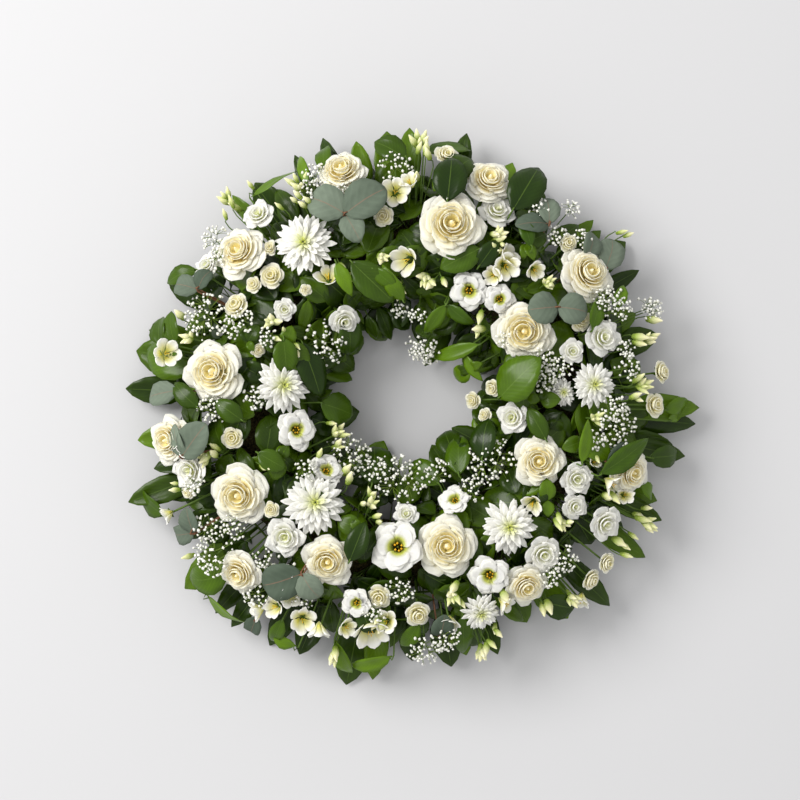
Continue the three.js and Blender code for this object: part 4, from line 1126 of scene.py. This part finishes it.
def tuck_leaf(heap, root, tip, length, slim, arch, folds, above, twist, droops):
    """One dark leaf, broad unless slim gives its least half breadth as a share of its length."""
    half = length * (draw(slim, 0.26) if slim else draw(0.32, 0.4))
    surface = leaf_surface(root, tip, half, arch, draw(*folds), above, draw(-twist, twist), draw(*droops))
    add_leaf(heap, LEAF if slim else OVATE_LEAF, surface, draw(0, 0.85) ** 2)


for k in range(TUCKED_LEAVES):
    angle = TAU * (k + draw(0, 1)) / TUCKED_LEAVES
    lean = draw(-1.25, 1.4)
    reach = draw(48, 60) + 18 * max(0.0, lean - 0.5)
    middle = ring_point(angle, lean, reach)
    outward = ring_point(angle, lean, reach + 1) - middle
    round_ring = np.array([-math.sin(angle), math.cos(angle), 0])
    along_dome = np.cross(outward, round_ring)
    if along_dome @ polar(angle) < 0:
        along_dome = -along_dome
    swing = draw(-1.3, 1.3) + (math.pi if lean < -0.2 else 0)
    way = along_dome * math.cos(swing) + round_ring * math.sin(swing)
    length = draw(30, 50)
    root = middle - way * length / 2
    tip = middle + way * length / 2 - outward * draw(0, 8)
    if lean < -0.8:
        tip[2] = min(tip[2], middle[2])
    tuck_leaf(tucked[TUCKED_PIECES * k // TUCKED_LEAVES], root, tip, length,
              slim=0 if k % 5 < 3 else 0.18, arch=3, folds=(0.1, 0.3), above=outward, twist=7,
              droops=(0, 8))
    lay_rod(tucked_stalks, [root, ring_point(angle, lean * 0.7, SINK_REACH)], 0.6, 0.9, STALK, THIN_ROD)


def fill_rim(count, base, heights, lengths, side):
    """Shorter leaves between those of a rim, at all angles to it. The ranges say how far from the
    ring's middle and how high their roots are, and how long they are."""
    for k in range(count):
        angle = TAU * (k + draw(0, 1)) / count
        if side > 0 and SPARSE_FROM < angle < SPARSE_TO and k % 3:
            continue
        length = draw(*lengths)
        turned = angle + draw(-0.75, 0.75) + (math.pi if side < 0 else 0)
        root = polar(angle, draw(*base), draw(*heights))
        way = polar(turned, 1, -draw(0.1, 0.55))
        tip = root + way / np.linalg.norm(way) * length
        tuck_leaf(tucked[TUCKED_PIECES * k // count], root, tip, length, slim=0 if k % 2 else 0.16,
                  arch=4, folds=(0.1, 0.35), above=UP, twist=9, droops=(-2, 9))
        lay_rod(tucked_stalks, [root, ring_point(angle, side, SINK_REACH)], 0.7, 1.0, STALK, THIN_ROD)


fill_rim(96, base=(196, 224), heights=(34, 54), lengths=(32, 52), side=1)
fill_rim(64, base=(98, 116), heights=(26, 52), lengths=(28, 40), side=-1)
for number, heap in enumerate(tucked, 1):
    heap.make(f'tucked_leaves_{number:02d}', WAXY_LEAF, 'leaf_green')
tucked_stalks.make('tucked_leaf_stalks', GREEN_STALK, 'leaf_green')


# The ring: two spun sections, of which the moss is roughened and the straw has a ridged back.
SPIN_STEPS = 180
MERGE_DISTANCE = 0.00005
# Coarse and fine lumps of the moss, each by height in millimetres and closeness to the metre.
MOSS_LUMPS = ((2.2, 90), (1.6, 320))


def spun_ring(name, section, material, roughen=None):
    deselect()
    bpy.ops.mesh.primitive_circle_add(vertices=len(section), radius=1)
    ring = bpy.context.object
    ring.name = name
    for vert, (out, up) in zip(ring.data.vertices, section):
        vert.co = (RING_MIDDLE[0] * MM + (RING_RADIUS + out) * MM, RING_MIDDLE[1] * MM, up * MM)
    bpy.ops.object.mode_set(mode='EDIT')
    bpy.ops.mesh.select_all(action='SELECT')
    bpy.ops.mesh.spin(steps=SPIN_STEPS, angle=TAU, center=tuple(RING_MIDDLE * MM), axis=(0, 0, 1))
    bpy.ops.mesh.select_all(action='SELECT')
    bpy.ops.mesh.remove_doubles(threshold=MERGE_DISTANCE)
    bpy.ops.mesh.normals_make_consistent(inside=False)
    bpy.ops.object.mode_set(mode='OBJECT')
    if roughen:
        for vert in ring.data.vertices:
            roughen(vert)
    bpy.ops.object.shade_smooth()
    ring.data.materials.append(material)
    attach(ring, 'root')
    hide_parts(name.replace('_piece', ''))


def arc(radius, start, end, steps):
    """Points round the section's middle, across and up, from one angle off straight up to another."""
    angles = np.linspace(start, end, steps + 1)
    return [(radius * math.sin(angle), SECTION_RISE + radius * math.cos(angle)) for angle in angles]


def tangle(vert):
    """Roughens the moss: moves a point on its outside in or out from the middle of the section."""
    x, y, z = vert.co / MM - Vector(RING_MIDDLE)
    flat = math.hypot(x, y)
    out, up = flat - RING_RADIUS, z - SECTION_RISE
    reach = math.hypot(out, up)
    if reach < MOSS_SECTION - 4 or z < 0.5:
        return
    amount = sum(height * noise.noise(vert.co * closeness) for height, closeness in MOSS_LUMPS)
    grown = (reach + amount) / reach
    flat_now = RING_RADIUS + out * grown
    moved = Vector((x * flat_now / flat, y * flat_now / flat, max(CLEARANCE, SECTION_RISE + up * grown)))
    vert.co = (moved + Vector(RING_MIDDLE)) * MM


# The moss is hollow where the straw lies in it, half a millimetre off the straw.
flank = math.acos(-SECTION_RISE / MOSS_SECTION)
hollow = STRAW_SECTION + 0.5
moss_section = arc(MOSS_SECTION - 2, -flank, flank, 30) + [(hollow, CLEARANCE)]
moss_section += arc(hollow, TAU / 4, -TAU / 4, 8) + [(-hollow, CLEARANCE)]
moss_section = [(out, max(CLEARANCE, up)) for out, up in moss_section]
spun_ring('moss_cover_piece', moss_section, MOSS, tangle)
straw_section = [(-STRAW_SECTION, CLEARANCE)] + arc(STRAW_SECTION, -TAU / 4, TAU / 4, 16)
straw_section += [(STRAW_SECTION, CLEARANCE)]
ridges = range(STRAW_SECTION - 2, -STRAW_SECTION, -2)
straw_section += [(out, 0.2 + 0.7 * (k % 2)) for k, out in enumerate(ridges)]
spun_ring('straw_ring_piece', straw_section, STRAW)


# The floor, a pale room and one large soft window over the upper left.
FLOOR_SIZE = 8
FLOOR_TONE = (0.60, 0.602, 0.62, 1)
ROOM_TONE = (1, 0.995, 0.98, 1)
ROOM_STRENGTH = 0.78
WINDOW_PLACE = Vector((-2.4, 1.35, 2.5))
WINDOW_AIM = Vector((0, 0, 0.05))
WINDOW_SIZE = 2.2
WINDOW_POWER = 129
WINDOW_TONE = (1, 0.985, 0.955)

deselect()
bpy.ops.mesh.primitive_plane_add(size=FLOOR_SIZE)
floor = bpy.context.object
floor.name = 'floor'
floor_finish = Finish('pale_floor', roughness=0.9, specular=0.2)
floor_finish.feed(floor_finish.shader, {'Base Color': FLOOR_TONE})
floor.data.materials.append(floor_finish.material)
scene = bpy.context.scene
scene.world = bpy.data.worlds.new('soft_room')
scene.world.use_nodes = True
background = scene.world.node_tree.nodes['Background']
background.inputs['Color'].default_value = ROOM_TONE
background.inputs['Strength'].default_value = ROOM_STRENGTH
scene.view_settings.view_transform = 'Standard'
window_data = bpy.data.lights.new('window', 'AREA')
window_data.shape = 'DISK'
window_data.size = WINDOW_SIZE
window_data.energy = WINDOW_POWER
window_data.color = WINDOW_TONE
window = bpy.data.objects.new('window', window_data)
window.location = WINDOW_PLACE
window.rotation_euler = (WINDOW_AIM - WINDOW_PLACE).to_track_quat('-Z', 'Y').to_euler()
scene.collection.objects.link(window)

# The photograph looks straight down: 1.03 mm to a pixel of its 800, at the height of the heads, with
# the ring's middle a few pixels to the right of the frame's and above it.
CAMERA_PLACE = (-0.0126, 0.0076)
CAMERA_DISTANCE = 3.0
HEADS_HEIGHT = 0.085
FRAME_WIDTH = 0.824
camera_data = bpy.data.cameras.new('camera')
camera_data.angle = 2 * math.atan(FRAME_WIDTH / 2 / CAMERA_DISTANCE)
camera = bpy.data.objects.new('camera', camera_data)
camera.location = (*CAMERA_PLACE, HEADS_HEIGHT + CAMERA_DISTANCE)
scene.collection.objects.link(camera)
scene.camera = camera
